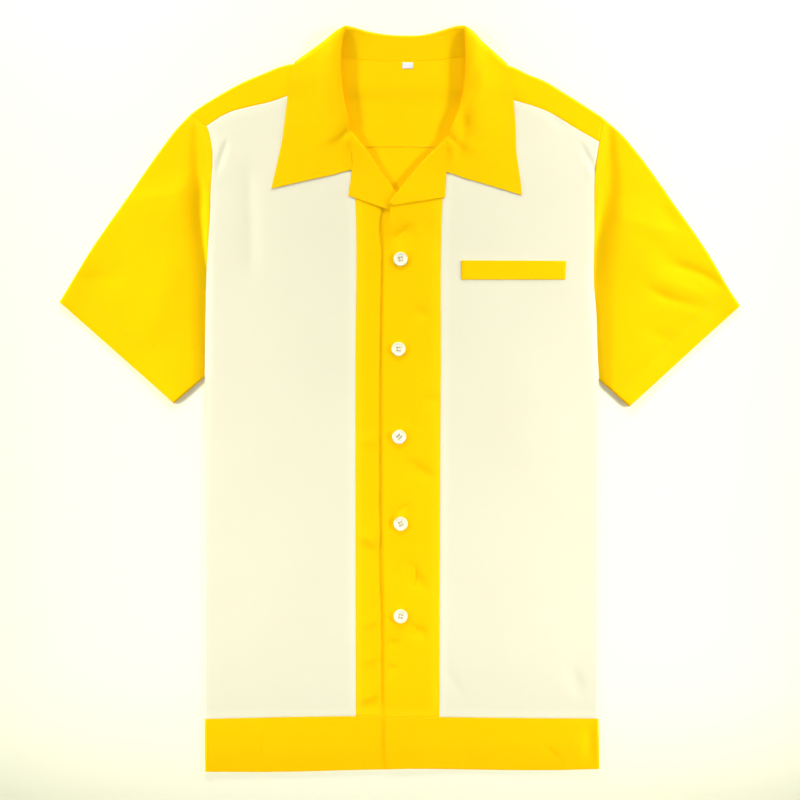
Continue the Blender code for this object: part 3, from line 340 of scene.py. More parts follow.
# ---- creases beyond the solids' own folds: the pieces they cross, the line, height, and the
# half widths to the left and right of the line's direction
CREASES = (
    ("sleeve_right", ((-345, 134), (-318, 128), (-289, 119)), -1.7, 5, 6),
    ("sleeve_right", ((-300, 66), (-272, 52), (-250, 30)), -0.8, 9, 8),
    ("sleeve_right", ((-250, 232), (-244, 216), (-238, 200)), -0.8, 6, 9),
    ("sleeve_left", ((268, 141), (300, 138.5), (325, 129), (350, 113)), -1.9, 5, 5),
    ("sleeve_left", ((255, 118), (285, 106), (308, 100), (334, 97.5)), -2.0, 5, 5.5),
    ("sleeve_left", ((262, 126), (292, 121), (318, 112), (338, 104)), 0.9, 5, 5),
    ("sleeve_left", ((252, 76), (276, 67), (300, 60)), -1.0, 7, 8),
    ("sleeve_left", ((270, 212), (286, 190), (302, 176)), -0.9, 8, 8),
    ("side_right", ((-177, 285), (-186.8, 261.9), (-197, 226)), -1.5, 5, 3),
    ("side_right", ((-161, 254), (-157, 190), (-155, 124)), -1.2, 10, 7),
    ("side_left", ((190, 277), (198.1, 258.7), (205.5, 240.9), (208, 224)), -1.4, 3.4, 3),
    ("side_left", ((189, 274), (195, 258), (203, 242)), -0.7, 3, 3),
    ("side_left", ((154, 302), (168.4, 291.4), (178, 281)), -1.0, 5, 5),
    ("side_left", ((46, -283), (59.6, -305.6), (69, -324)), -0.9, 6, 5),
    ("side_left", ((176, -279), (185.8, -300), (194, -321)), -1.3, 9, 8),
    ("band_right", ((-144.2, -337), (-144.9, -365), (-145.4, -396)), -1.1, 4, 1.6),
    ("band_left", ((150, -367), (161.4, -375.5), (170, -385)), -1.1, 3.5, 3.5),
    (
        "centre_right",
        ((-16, 196), (-18.3, 100), (-19.3, -10), (-18.4, -171), (-17.2, -256), (-17.2, -337)),
        -1.3, 1.8, 2.2,
    ),
    ("centre_right", ((-46, -321), (-33, -316), (-18, -311)), 1.5, 9, 4),
    ("centre_right", ((-46, -329), (-33, -324), (-19, -320)), -1.0, 4, 9),
    ("centre_right", ((-14, 216), (-17, 195), (-18, 170), (-19, 150)), -2.4, 3, 5),
    ("centre_right", ((-19, -85), (-20, -110), (-19, -138)), -0.8, 4, 8),
    ("centre_right", ((-19, -138), (-20.5, -178), (-18, -218)), -1.0, 4, 7),
    ("centre_right", ((-45, -140), (-34, -148), (-21, -158)), 1.8, 9, 5),
    ("centre_right", ((-43, -149), (-33, -159), (-22, -171)), -1.2, 5, 9),
    ("centre_right", ((-43, -243), (-31, -237), (-20, -231)), 1.7, 9, 5),
    ("centre_right", ((-43, -281), (-29, -275), (-19, -272)), 1.6, 9, 4.5),
    ("centre_right", ((-43, -39), (-30, -45), (-19, -42)), 1.5, 9, 5.5),
    ("centre_left", ((-13, 208), (-15, 185), (-16, 160)), 1.3, 6, 4),
    ("centre_left", ((-13, 166), (0, 172), (18, 186)), -2.3, 6.5, 10),
    ("centre_left", ((12, 200), (30, 180), (37, 146)), -1.4, 9, 9),
    ("centre_left", ((2, -64), (22, -76), (42, -90)), -2.5, 6, 10),
    ("centre_left", ((-14.6, -139), (-2, -125), (12, -109)), -2.3, 5.5, 9),
    ("centre_left", ((-16, -142), (-8, -132), (3, -119), (15, -104)), -1.0, 1.6, 3),
    ("centre_left", ((-16, -256), (-8, -258), (3, -257)), -1.7, 3, 6),
    ("centre_left", ((-16, -283), (-8, -285), (1, -284)), -1.5, 3, 6),
    ("centre_left", ((2, -166), (18, -190), (32, -211)), -2.8, 6.5, 10),
    ("centre_left", ((6, -240), (20, -246), (33, -252)), -2.3, 4.5, 8),
    ("centre_left", ((24, 2), (34, -1), (44, -6)), -1.5, 6, 10),
    ("centre_left", ((12, 97), (22, 92), (34, 84)), -1.4, 6, 10),
    ("band_right", ((-17.5, -337), (-18, -360), (-17.5, -392)), -0.9, 4, 4),
    ("band_left", ((200, -336), (201, -366), (200, -394)), -1.9, 7, 6),
    ("collar_right", ((-68, 262), (-57, 244), (-61, 233)), -0.5, 6, 6),
    ("collar_left", ((85, 352), (76.6, 327.3), (69.2, 309.3), (66, 287), (62.5, 264)), -4.2, 6, 5),
    ("collar_left", ((72, 305), (66, 280), (61.5, 258), (59.5, 244)), -1.7, 5, 4),
    ("collar_left", ((98, 352), (90, 325), (83, 300), (77, 268)), 2.6, 11, 7),
)
CREASE_TAPER = 30.0

# Where a sleeve puffs up and drops to the armhole seam. ROLLS: pieces, the side of the foot line it rises on.
# Rows: foot of the drop, how far the foot sinks, how far the crest rises, width from foot to crest, the share of
# it that the slope takes to start, width of the rise behind the foot
ROLL_POWER = 2.0
ROLL_CREST = 1.25
ROLL_FADE = 60.0
ROLLS = (
    (
        "sleeve_right side_right",
        -1,
        (
            ((-216.0, 304.0), 0.0, 0.0, 9.0, 0.3, 4.0),
            ((-215.6, 284.0), 0.5, 0.7, 8.5, 0.3, 3.0),
            ((-214.9, 264.0), 0.7, 1.0, 9.5, 0.3, 3.0),
            ((-214.2, 242.0), 1.0, 1.4, 11.0, 0.3, 3.5),
            ((-210.4, 221.0), 1.9, 3.9, 24.0, 0.1, 4.2),
            ((-210.3, 195.0), 2.2, 3.8, 22.0, 0.15, 4.0),
            ((-208.2, 168.0), 2.4, 3.0, 19.0, 0.1, 3.5),
            ((-205.4, 138.0), 2.5, 2.8, 17.5, 0.06, 3.0),
            ((-205.6, 105.0), 2.5, 2.7, 17.0, 0.06, 3.0),
            ((-206.3, 60.0), 2.5, 2.0, 15.5, 0.06, 3.0),
            ((-206.8, 24.0), 2.5, 1.8, 14.0, 0.06, 3.0),
            ((-207.0, 4.0), 2.4, 1.6, 13.0, 0.06, 3.0),
        ),
    ),
    (
        "sleeve_left side_left",
        1,
        (
            ((221.0, 304.0), 0.0, 0.0, 10.0, 0.3, 5.0),
            ((221.5, 284.0), 0.4, 0.8, 10.0, 0.3, 5.0),
            ((221.8, 264.0), 0.5, 1.3, 11.0, 0.3, 5.0),
            ((221.0, 222.0), 0.8, 2.7, 18.0, 0.35, 5.0),
            ((213.6, 195.0), 0.8, 5.2, 27.0, 0.42, 4.0),
            ((208.6, 168.0), 1.6, 5.0, 27.0, 0.16, 3.0),
            ((206.5, 138.0), 2.2, 3.6, 26.0, 0.1, 3.0),
            ((207.0, 105.0), 2.4, 2.6, 24.0, 0.08, 3.0),
            ((209.2, 60.0), 2.5, 2.0, 20.0, 0.06, 3.0),
            ((211.1, 22.0), 2.5, 1.8, 17.0, 0.06, 3.0),
            ((211.9, 4.0), 2.4, 1.6, 15.0, 0.06, 3.0),
        ),
    ),
)

EDGE_CURL = {"rise": 0.3, "reach": 3.0, "wave": 120.0, "start": 40.0}
OPEN_SAG = 1.3
OPEN_SAG_REACH = 26.0

# broad unevenness of the laid cloth: wavelength, height, direction in degrees, stretch, seed
UNEVEN = (
    (95.0, 0.42, 20.0, 1.6, 3),
    (46.0, 0.20, -35.0, 2.0, 5),
    (23.0, 0.07, 60.0, 1.8, 7),
)

# seams: how deep the line sinks, its half width, and the pucker beside it
SEAM = {"dip": 0.2, "width": 0.7, "allowance": 8.0, "ridge": 0.14, "pucker": 0.13, "reach": 6.5}
HEM_DEPTH = 22.0

# close lines beside each border, so that a seam's dip and an edge's bend are smooth
NEAR_EDGE = (0.0, 0.35, 0.8, 1.4, 2.2, 3.2, 4.4, 5.8, 7.2, 8.6, 10.0, 11.6)

# ---- mesh density
SIDE_COLUMNS = 76
BACK_COLUMNS = 80
LOW_ROWS = 140
HIGH_ROWS = 112
NECK_ROWS = 26
PRINCESS_CROWDING = 0.45
CENTRE_COLUMNS = 62
CENTRE_ROWS = (230, 150)
LAPEL_ROWS = 30
LAPEL_NOTCH_SHARE = 0.286
LAPEL_BEND_ANGLES = tuple(np.linspace(-75.0, 75.0, 11))
LAPEL_LINE_SAMPLES = 200
ARMHOLE_SAMPLES = 240
SLEEVE_STATIONS = 74
SLEEVE_STOPS = 118
YOKE_COLUMNS = 74
YOKE_NECK_COLUMNS = 60
YOKE_BACK_ROWS = 34
YOKE_FRONT_ROWS = 26
YOKE_NECK_REACH = 94.0
YOKE_CROWDING_REACH = 0.06
BAND_ROWS = 36
WELD_DISTANCE = 0.01


# ------------------------------------------------------------------ curves
def chord_lengths(points):
    steps = np.linalg.norm(np.diff(points, axis=0), axis=1)
    return np.concatenate(([0.0], np.cumsum(steps)))


def spline(points, at):
    """Points of a smooth curve through the given ones, at chord lengths."""
    points = np.asarray(points, float)
    knots = chord_lengths(points)
    if len(points) == 2:
        share = (np.asarray(at) / knots[1])[:, None]
        return points[0] * (1 - share) + points[1] * share
    slopes = np.gradient(points, knots, axis=0)
    index = np.clip(np.searchsorted(knots, at, side="right") - 1, 0, len(points) - 2)
    span = knots[index + 1] - knots[index]
    t = ((at - knots[index]) / span)[:, None]
    span = span[:, None]
    start = (1 + 2 * t) * (1 - t) ** 2 * points[index]
    leave = t * (1 - t) ** 2 * span * slopes[index]
    end = t**2 * (3 - 2 * t) * points[index + 1]
    arrive = t**2 * (t - 1) * span * slopes[index + 1]
    return start + leave + end + arrive


def curve(points, shares):
    """A smooth curve through the given points, at shares of its chord length."""
    knots = chord_lengths(np.asarray(points, float))
    if np.isscalar(shares):
        shares = np.linspace(0.0, 1.0, shares)
    return spline(points, np.asarray(shares) * knots[-1])


def along(path, distances):
    """Points of a polyline at given distances from its start."""
    knots = chord_lengths(path)
    return np.stack([np.interp(distances, knots, path[:, k]) for k in range(path.shape[1])], 1)


def stops(length, count, start=True, end=True, near=NEAR_EDGE):
    """Shares of a length, close together beside a seam or edge at either end."""
    near = np.array(near)
    first = near if start else near[:1]
    last = length - (near if end else near[:1])[::-1]
    middle = np.linspace(first[-1], last[0], count - len(first) - len(last) + 2)
    return np.concatenate((first, middle[1:-1], last)) / length


def share_of(path):
    lengths = chord_lengths(path)
    return lengths / lengths[-1]


def coons(bottom, top, left, right):
    """A plan grid between four curves; rows run from bottom to top."""
    v = ((share_of(left) + share_of(right)) / 2)[:, None, None]
    u = ((share_of(bottom) + share_of(top)) / 2)[None, :, None]
    ruled_v = (1 - v) * bottom[None] + v * top[None]
    ruled_u = (1 - u) * left[:, None] + u * right[:, None]
    corners = (1 - v) * ((1 - u) * bottom[0] + u * bottom[-1])
    corners = corners + v * ((1 - u) * top[0] + u * top[-1])
    return ruled_v + ruled_u - corners


def ease(value):
    """Smooth step from 0 to 1."""
    t = np.clip(value, 0.0, 1.0)
    return t * t * (3 - 2 * t)


def beside(plan, line, step=2.5):
    """How far points lie to the left of a line, how far along it, and the line's length."""
    knots = chord_lengths(np.asarray(line, float))
    path = spline(line, np.linspace(0, knots[-1], max(4, int(knots[-1] / step))))
    lengths = chord_lengths(path)
    way = np.gradient(path, axis=0)
    way /= np.linalg.norm(way, axis=1, keepdims=True)
    flat = plan.reshape(-1, 2)
    nearest = np.empty(len(flat), int)
    for k in range(0, len(flat), 4000):
        gap_x = flat[k : k + 4000, None, 0] - path[None, :, 0]
        gap_y = flat[k : k + 4000, None, 1] - path[None, :, 1]
        nearest[k : k + 4000] = (gap_x**2 + gap_y**2).argmin(axis=1)
    gap = flat - path[nearest]
    off = way[nearest, 0] * gap[:, 1] - way[nearest, 1] * gap[:, 0]
    at = lengths[nearest] + (gap * way[nearest]).sum(axis=1)
    return off.reshape(plan.shape[:-1]), at.reshape(plan.shape[:-1]), lengths[-1]


def lattice_noise(plan, wavelength, seed):
    """Smooth random heights between -1 and 1, alike for the same place and seed."""
    table = np.random.default_rng(seed).uniform(-1, 1, (64, 64))
    at = plan / (wavelength / 2) + 512.3
    cell = np.floor(at).astype(int)
    part = ease(at - cell)
    i, j = cell[..., 0] % 64, cell[..., 1] % 64
    n, m = (i + 1) % 64, (j + 1) % 64
    low = table[i, j] * (1 - part[..., 0]) + table[n, j] * part[..., 0]
    high = table[i, m] * (1 - part[..., 0]) + table[n, m] * part[..., 0]
    return low * (1 - part[..., 1]) + high * part[..., 1]


def turned(plan, degrees):
    """Plan points turned about the origin."""
    c, s = math.cos(math.radians(degrees)), math.sin(math.radians(degrees))
    return np.stack((c * plan[..., 0] + s * plan[..., 1], c * plan[..., 1] - s * plan[..., 0]), -1)


# ----------------------------------------------------------------- heights
def fall_lift(x, y):
    """How far the hidden half of the collar lifts the yoke above it."""
    across = ease((FALL_LIFT_END - np.abs(x)) / (FALL_LIFT_END - FALL_HALF_WIDTH))
    along_y = ease((y - FALL_LIFT_LOW) / (FALL_LIFT_HIGH - FALL_LIFT_LOW))
    return FALL_LIFT * across * along_y


def soft_folds(x, y):
    """Height of the solids' own soft ridges and troughs in the front layer."""
    height = np.zeros(np.shape(x))
    for start_x, start_y, end_x, end_y, width, rise in FRONT_FOLDS:
        run = np.array((end_x - start_x, end_y - start_y))
        length = np.hypot(*run)
        run = run / length
        share = ((x - start_x) * run[0] + (y - start_y) * run[1]) / length
        off = (x - start_x) * run[1] - (y - start_y) * run[0]
        ends = ease(share / FOLD_TAPER + 0.5) * ease((1 - share) / FOLD_TAPER + 0.5)
        height += rise * ends * np.exp(-((off / width) ** 2))
    return height


def back_mid(x, y):
    return BACK_MID + fall_lift(x, y)


def front_mid(x, y, side):
    """Middle of the solids' front layer; the left front lies over the right one."""
    height = FRONT_MID + fall_lift(x, y) + soft_folds(x, y)
    span = OVERLAP_END - OVERLAP_FLAT
    if side["sign"] < 0:
        return height - UNDER_DROP * ease((x + OVERLAP_END) / span)
    off = (x - CROSSING["x"]) ** 2 + (y - CROSSING["y"]) ** 2
    crossing = CROSSING["raise"] * np.exp(-off / (2 * CROSSING["spread"] ** 2))
    return height + TOP_RAISE * ease((OVERLAP_END - x) / span) + crossing


def uneven(plan):
    """The unevenness that the whole front shares across its seams."""
    height = np.zeros(plan.shape[:-1])
    for wavelength, rise, degrees, stretch, seed in UNEVEN:
        at = turned(plan, degrees) / np.array((stretch, 1.0))
        height += rise * lattice_noise(at, wavelength, seed)
    return height


def creases(plan, name):
    """The creases that cross one piece."""
    height = np.zeros(plan.shape[:-1])
    for names, line, rise, left, right in CREASES:
        if name not in names.split():
            continue
        off, at, length = beside(plan, line)
        taper = min(CREASE_TAPER, 0.45 * length)
        ends = ease(at / taper) * ease((length - at) / taper)
        height += rise * ends * np.exp(-((off / np.where(off > 0, left, right)) ** 2))
    for names, side, rows in ROLLS:
        if name in names.split():
            height += roll(plan, side, rows)
    return height


def roll(plan, side, rows):
    """A puffed edge: it drops to the foot line, with its steepest part near the foot."""
    line = [row[0] for row in rows]
    off, at, _ = beside(plan, line)
    knots = chord_lengths(line)
    foot, crest, width, start, behind = (np.interp(at, knots, [row[k] for row in rows]) for k in range(1, 6))
    out = side * off
    share = np.clip(out / width, 0.0, 1.0)
    share = np.where(share < start, share**2 / (2 * start), share - start / 2) / (1 - start / 2)
    rising = 1 - (1 - share) ** ROLL_POWER
    crest = crest * ROLL_CREST
    beyond = np.exp(-((np.maximum(out - width, 0.0) / ROLL_FADE) ** 2))
    return np.where(out > 0, (foot + crest * beyond) * rising - foot, -foot * np.exp(-((out / behind) ** 2)))


def cloth_front(name, side, thickness):
    """Height function of one piece of the front, with its top where the solid has it."""

    def mid(x, y):
        plan = np.stack((x, y), -1)
        height = front_mid(x, y, side) + (WALL - thickness) / 2
        height = height + uneven(plan) + creases(plan, name)
        return LEAST_MID + np.logaddexp(0.0, (height - LEAST_MID) * 4) / 4

    return mid


def cloth_back(thickness):
    """Height function of the layer on the floor, with its underside where the solid has it."""
    return lambda x, y: back_mid(x, y) - (WALL - thickness) / 2


def with_height(plan, height):
    return np.concatenate((plan, np.asarray(height)[..., None]), axis=-1)


def seam_relief(plan, lines, seed, ridge=1.0):
    """Height of the sunk seam lines with their puckers, and where the cloth lies double."""
    height = np.zeros(plan.shape[:-1])
    double = np.zeros(plan.shape[:-1])
    for number, line in enumerate(lines):
        off, at, length = beside(plan, line)
        away = np.abs(off)
        inside = ease(at / 3.0 + 1) * ease((length - at) / 3.0 + 1)
        fold = ease(away / 1.5) - ease((away - SEAM["allowance"] / 2) / SEAM["allowance"])
        wave = lattice_noise(np.stack((at, off * 0.3), -1), 13.0, seed + number)
        wave = wave + 0.6 * lattice_noise(np.stack((at, off * 0.3), -1), 6.5, seed + 50 + number)
        height += inside * (
            -SEAM["dip"] * np.exp(-((away / SEAM["width"]) ** 2))
            + ridge * SEAM["ridge"] * fold
            + SEAM["pucker"] * wave * np.exp(-away / SEAM["reach"])
        )
        double = np.maximum(double, inside * fold)
    return height, double


def open_sag(plan, edge, ends=True):
    """How far an open edge sinks towards the layer below, less beside its folded ends."""
    off, at, length = beside(plan, edge)
    sag = OPEN_SAG * (1 - ease(np.abs(off) / OPEN_SAG_REACH))
    inner = ease(at / OPEN_SAG_REACH)
    return sag * inner * (ease((length - at) / OPEN_SAG_REACH) if ends else 1.0)


# ------------------------------------------------------------- folded edges
def fold_offsets(share=1.0, thickness=SINGLE):
    """Distances in from an outline at which the bend of a fold is sampled."""
    angles = np.radians(FOLD_ANGLES)
    bent = thickness / 2 + FOLD_DEPTH * (1 - np.cos(angles))
    spread = FOLD_DEPTH * np.array(FOLD_ANGLES) / FOLD_ANGLES[-1]
    return share * bent + (1 - share) * spread


def fold_heights(flat, split, share=1.0):
    """Heights of the bend from the split between the layers up or down to one."""
    angles = np.radians(FOLD_ANGLES)
    start = split + np.sign(flat - split) * SIDE_SEAM_GAP / 2
    bent = start + (flat - start) * np.sin(angles)
    return share * bent + (1 - share) * flat


def folded_rows(plan, mid, share, split):
    """Grid whose first column is bent towards the other layer along a side fold."""
    rows = []
    for path, amount in zip(plan, share):
        lengths = chord_lengths(path)
        bend = fold_offsets(amount)
        rest = bend[-1] + share_of(path)[1:] * (lengths[-1] - bend[-1])
        rows.append(along(path, np.concatenate((bend, rest))))
    rows = np.array(rows)
    heights = mid(rows[..., 0], rows[..., 1])
    count = len(FOLD_ANGLES)
    for k, amount in enumerate(share):
        heights[k, :count] = fold_heights(heights[k, count - 1], split, amount)
    return with_height(rows, heights)


def side_share(y, armpit_y):
    """How far the side edge is folded: not at the armpit, fully just below it."""
    return ease((armpit_y - y) / SIDE_FOLD_START)


# ------------------------------------------------------------------ insets
def pulled_in(grid, sides, gap=SEAM_GAP / 2):
    """Moves the named borders of a grid inwards by half the seam gap."""
    grid = grid.copy()
    rows = {"bottom": (0, 1), "top": (-1, -2)}
    columns = {"left": (0, 1), "right": (-1, -2)}
    for name in sides:
        if name in rows:
            edge, inner = rows[name]
            step = grid[inner] - grid[edge]
            grid[edge] += gap * step / np.linalg.norm(step, axis=-1, keepdims=True)
        else:
            edge, inner = columns[name]
            step = grid[:, inner] - grid[:, edge]
            grid[:, edge] += gap * step / np.linalg.norm(step, axis=-1, keepdims=True)
    return grid


# --------------------------------------------------------------- body panels
def armhole_path(side):
    """Plan of the armhole seam, from the shoulder down to the armpit."""
    return curve(side["armhole"], ARMHOLE_SAMPLES)


def armhole_at(side, seam_y):
    """Distance down the armhole at which another seam meets it."""
    path = armhole_path(side)
    return np.interp(-seam_y, -path[:, 1], chord_lengths(path))


def back_yoke_seam():
    """The yoke's lower seam on the back, from one armhole to the other."""
    ends = []
    for side in (RIGHT, LEFT):
        path = armhole_path(side)
        x = np.interp(-side["back_seam_y"], -path[:, 1], path[:, 0])
        ends.append((x, side["back_seam_y"]))
    return np.array((ends[0], *YOKE_SEAM_BACK, ends[1]))


def outer_rows(side, seam_y):
    """Side and armhole of a body panel, from the band up to the yoke seam."""
    side_length = chord_lengths(np.array(side["side"]))[-1]
    low = curve(side["side"], stops(side_length, LOW_ROWS, end=False))
    path = armhole_path(side)
    seam, full = armhole_at(side, seam_y), chord_lengths(path)[-1]
    shares = stops(full - seam, HIGH_ROWS, start=False)[1:]
    return np.concatenate((low, along(path, full - (full - seam) * shares)))


def princess_rows(side, low_rows=LOW_ROWS, high_rows=HIGH_ROWS - NECK_ROWS):
    """Seam between side and centre panels, from the band up to the lapel's roll."""
    path = np.array(side["princess"])
    path[-1] = lapel_foot(side)[0]
    lengths = chord_lengths(path)
    level = np.interp(side["side"][-1][1], path[:, 1], lengths)
    low = level * stops(level, low_rows, end=False)
    share = np.linspace(0, 1, high_rows + 1)[1:]
    share = share + PRINCESS_CROWDING * share * (1 - share)
    return spline(path, np.concatenate((low, level + (lengths[-1] - level) * share)))


def side_panel(side, word):
    """Front panel between the side, the armhole, the yoke and the centre panel."""
    outer = outer_rows(side, side["yoke_front"][0][1])
    princess = princess_rows(side)
    neck = np.array(side["neck_front"][::-1])
    neck[0] = princess[-1]
    neck_length = chord_lengths(neck)[-1]
    neck = curve(neck, stops(neck_length, len(outer) - len(princess) + 1, start=False))
    inner = np.concatenate((princess, neck[1:]))
    columns = stops(155.0, SIDE_COLUMNS, start=False)
    bottom = curve(side["band_side_top"], columns)
    top = curve(side["yoke_front"], columns)
    outer[-1] = top[0]
    plan = coons(bottom, top, outer, inner)
    share = side_share(outer[:, 1], side["side"][-1][1])
    grid = folded_rows(plan, cloth_front(f"side_{word}", side, SINGLE), share, SPLIT)
    seams = (side["princess"], side["band_side_top"], side["yoke_front"], side["armhole"])
    relief, double = seam_relief(grid[..., :2], seams, 100 + side["sign"])
    grid[..., 2] += relief * flat_part(grid, share)
    return pulled_in(grid, ("bottom", "top", "right")), double


def flat_part(grid, share):
    """Weight that keeps the side fold's bend free of relief: 0 in it, 1 on the flat cloth."""
    count = len(FOLD_ANGLES)
    weight = np.ones(grid.shape[:2])
    ramp = np.concatenate((np.linspace(0, 1, count), np.ones(grid.shape[1] - count)))
    return share[:, None] * ramp[None] + (1 - share[:, None]) * weight


def back_panel():
    """Back between the band, both sides, both armholes and the yoke."""
    right = outer_rows(RIGHT, RIGHT["back_seam_y"])
    left = outer_rows(LEFT, LEFT["back_seam_y"])
    columns = stops(417.0, BACK_COLUMNS, start=False, end=False)
    bottom = curve(BAND_TOP_BACK, columns)
    top = curve(back_yoke_seam(), columns)
    right[-1], left[-1] = top[0], top[-1]
    return two_sided(coons(bottom, top, right, left), ("bottom", "top"), SINGLE)


def two_sided(plan, seams, thickness):
    """Back cloth with both side edges bent up towards the front."""
    half = plan.shape[1] // 2
    mid = cloth_back(thickness)
    right_share = side_share(plan[:, 0, 1], RIGHT["side"][-1][1])
    left_share = side_share(plan[:, -1, 1], LEFT["side"][-1][1])
    first = folded_rows(plan[:, : half + 1], mid, right_share, SPLIT)
    second = folded_rows(plan[:, half:][:, ::-1], mid, left_share, SPLIT)[:, ::-1]
    grid = np.concatenate((first, second[:, 1:]), axis=1)
    return pulled_in(grid, seams)


def back_band():
    """Hem band of the back, folded up at both side seams."""
    columns = stops(417.0, BACK_COLUMNS, start=False, end=False)
    rows = stops(56.0, BAND_ROWS)
    plan = coons(
        curve(HEM_BACK, columns),
        curve(BAND_TOP_BACK, columns),
        curve(RIGHT["band_side"], rows),
        curve(LEFT["band_side"], rows),
    )
    return two_sided(plan, ("top",), DOUBLE)


def front_band(side, word):
    """Hem band of one front, folded down at its side seam."""
    panel = curve(side["band_side_top"], stops(155.0, SIDE_COLUMNS, start=False, end=False))
    centre = curve(side["band_centre_top"], stops(63.0, CENTRE_COLUMNS, start=False))
    seam = np.concatenate((panel, centre[1:]))
    hem_length = chord_lengths(np.array(side["hem"]))[-1]
    rows = stops(56.0, BAND_ROWS)
    plan = coons(
        spline(side["hem"], share_of(seam) * hem_length),
        seam,
        curve(side["band_side"], rows),
        curve(side["band_front_edge"], rows),
    )
    share = np.ones(len(rows))
    grid = folded_rows(plan, cloth_front(f"band_{word}", side, DOUBLE), share, SPLIT)
    lines = (side["band_side_top"], side["band_centre_top"])
    relief, double = seam_relief(grid[..., :2], lines, 200 + side["sign"])
    relief = relief - open_sag(grid[..., :2], side["hem"], ends=False)
    grid[..., 2] += relief * flat_part(grid, share)
    return pulled_in(grid, ("top",)), double * 0


# ------------------------------------------------------------- centre panels
def lapel_directions(fold, side):
    """Plan directions from the lapel's fold into the panel, one for each column."""
    tangent = np.gradient(fold, axis=0)
    tangent /= np.linalg.norm(tangent, axis=1, keepdims=True)
    inward = np.stack((tangent[:, 1], -tangent[:, 0]), 1) * -side["sign"]
    gorge = np.array(side["lapel_gorge_end"]) - fold[0]
    gorge /= np.linalg.norm(gorge)
    weight = ease(1 - np.linspace(0, 1, len(fold)) / LAPEL_GORGE_SHARE)[:, None]
    inward = weight * gorge + (1 - weight) * inward
    return inward / np.linalg.norm(inward, axis=1, keepdims=True)


def lapel_height(plan, side, fold, foot, crest):
    """The lapel comes down from its roll and settles on the panel."""
    flat = plan.reshape(-1, 2)
    share = np.linspace(0, 1, len(fold))
    fine = np.linspace(0, 1, LAPEL_LINE_SAMPLES)
    line = np.stack([np.interp(fine, share, fold[:, k]) for k in (0, 1)], 1)
    gaps = np.linalg.norm(flat[:, None] - line[None], axis=2)
    settle = ease(gaps.min(axis=1) / LAPEL_SETTLE)
    rest = front_mid(flat[:, 0], flat[:, 1], side) + LAYER_STEP
    crest_here = np.interp(fine, share, foot + crest)[gaps.argmin(axis=1)]
    top = np.maximum(crest_here, rest)
    return (rest + (top - rest) * (1 - settle)).reshape(plan.shape[:2])


def lapel_roll_height():
    """Half the height of the lapel's roll at each column."""
    share, height = np.transpose(LAPEL_ROLL)
    return np.interp(np.linspace(0, 1, CENTRE_COLUMNS), share, height)


def lapel_fold_line(side):
    """Fold points and the plan directions in which their bend reaches back."""
    fold = curve(side["lapel_fold"], CENTRE_COLUMNS)
    return fold, lapel_directions(fold, side)


def lapel_foot(side):
    """Plan of the line where panel and lapel both meet the bend between them."""
    fold, inward = lapel_fold_line(side)
    reach = WALL / 2 + LAPEL_ROLL_SLOPE * lapel_roll_height()
    return fold + inward * reach[:, None]


def edge_curl(plan, edge):
    """How far the upper front lifts beside its open edge."""
    off, at, _ = beside(plan, edge)
    wave = 0.7 + 0.3 * lattice_noise(np.stack((at, 0 * at), -1), EDGE_CURL["wave"], 81)
    return EDGE_CURL["rise"] * wave * np.exp(-((off / EDGE_CURL["reach"]) ** 2)) * ease(at / EDGE_CURL["start"])


def centre_panel(side, word):
    """Centre front with its cut-on lapel, turned back along the fold."""
    fold, inward = lapel_fold_line(side)
    foot_plan = lapel_foot(side)
    roll = lapel_roll_height()
    princess = princess_rows(side, *CENTRE_ROWS)
    edge = np.array(side["front_edge"])
    edge[-1] = foot_plan[-1]
    body = coons(
        curve(side["band_centre_top"], stops(63.0, CENTRE_COLUMNS)),
        foot_plan,
        princess,
        curve(edge, share_of(princess)),
    )
    rows = len(body)
    body = with_height(body, cloth_front(f"centre_{word}", side, DOUBLE)(body[..., 0], body[..., 1]))
    seams = (side["princess"], side["band_centre_top"])
    relief, double = seam_relief(body[..., :2], seams, 300 + side["sign"])
    body[..., 2] += relief
    if side["sign"] > 0:
        body[..., 2] += edge_curl(body[..., :2], side["front_edge"])
    foot = body[-1, :, 2]
    bend = []
    for angle in np.radians(LAPEL_BEND_ANGLES):
        reach = WALL / 2 + LAPEL_ROLL_SLOPE * roll * (1 - np.cos(angle))
        bend.append(with_height(fold + inward * reach[:, None], foot + roll * (1 + np.sin(angle))))
    lapel = lapel_patch(side, foot_plan)
    lapel = with_height(lapel, lapel_height(lapel, side, foot_plan, foot, 2 * roll))
    lapel[0, :, 2] = foot + 2 * roll
    grid = np.concatenate((body, np.array(bend), lapel))
    turn = rows + len(bend) // 2
    grain = grid[..., :2].copy()
    grain[turn:] = mirrored(grain[turn:], side["lapel_fold"][0], side["lapel_fold"][-1])
    double = np.concatenate((double, np.zeros((len(grid) - rows, grid.shape[1]))))
    return pulled_in(grid, ("bottom", "left")), double, grain


def mirrored(plan, start, end):
    """Plan points mirrored in the line from start to end."""
    start = np.array(start)
    way = np.array(end) - start
    way = way / np.linalg.norm(way)
    gap = plan - start
    on_line = (gap @ way)[..., None] * way
    return start + 2 * on_line - gap


def lapel_patch(side, start):
    """Plan of the turned-back lapel, from its roll to its free edges."""
    rows = stops(30.0, LAPEL_ROWS, start=False)
    gorge = curve((start[0], side["lapel_gorge_end"]), rows)
    short = curve((start[-1], side["lapel_hem_point"]), rows)
    notch_columns = round(CENTRE_COLUMNS * LAPEL_NOTCH_SHARE)
    notch = curve((side["lapel_gorge_end"], side["lapel_corner"]), notch_columns)
    hem_columns = CENTRE_COLUMNS - notch_columns + 1
    hem = curve((side["lapel_corner"], side["lapel_hem_point"]), hem_columns)
    outer = np.concatenate((notch, hem[1:]))
    return coons(start, outer, gorge, short)


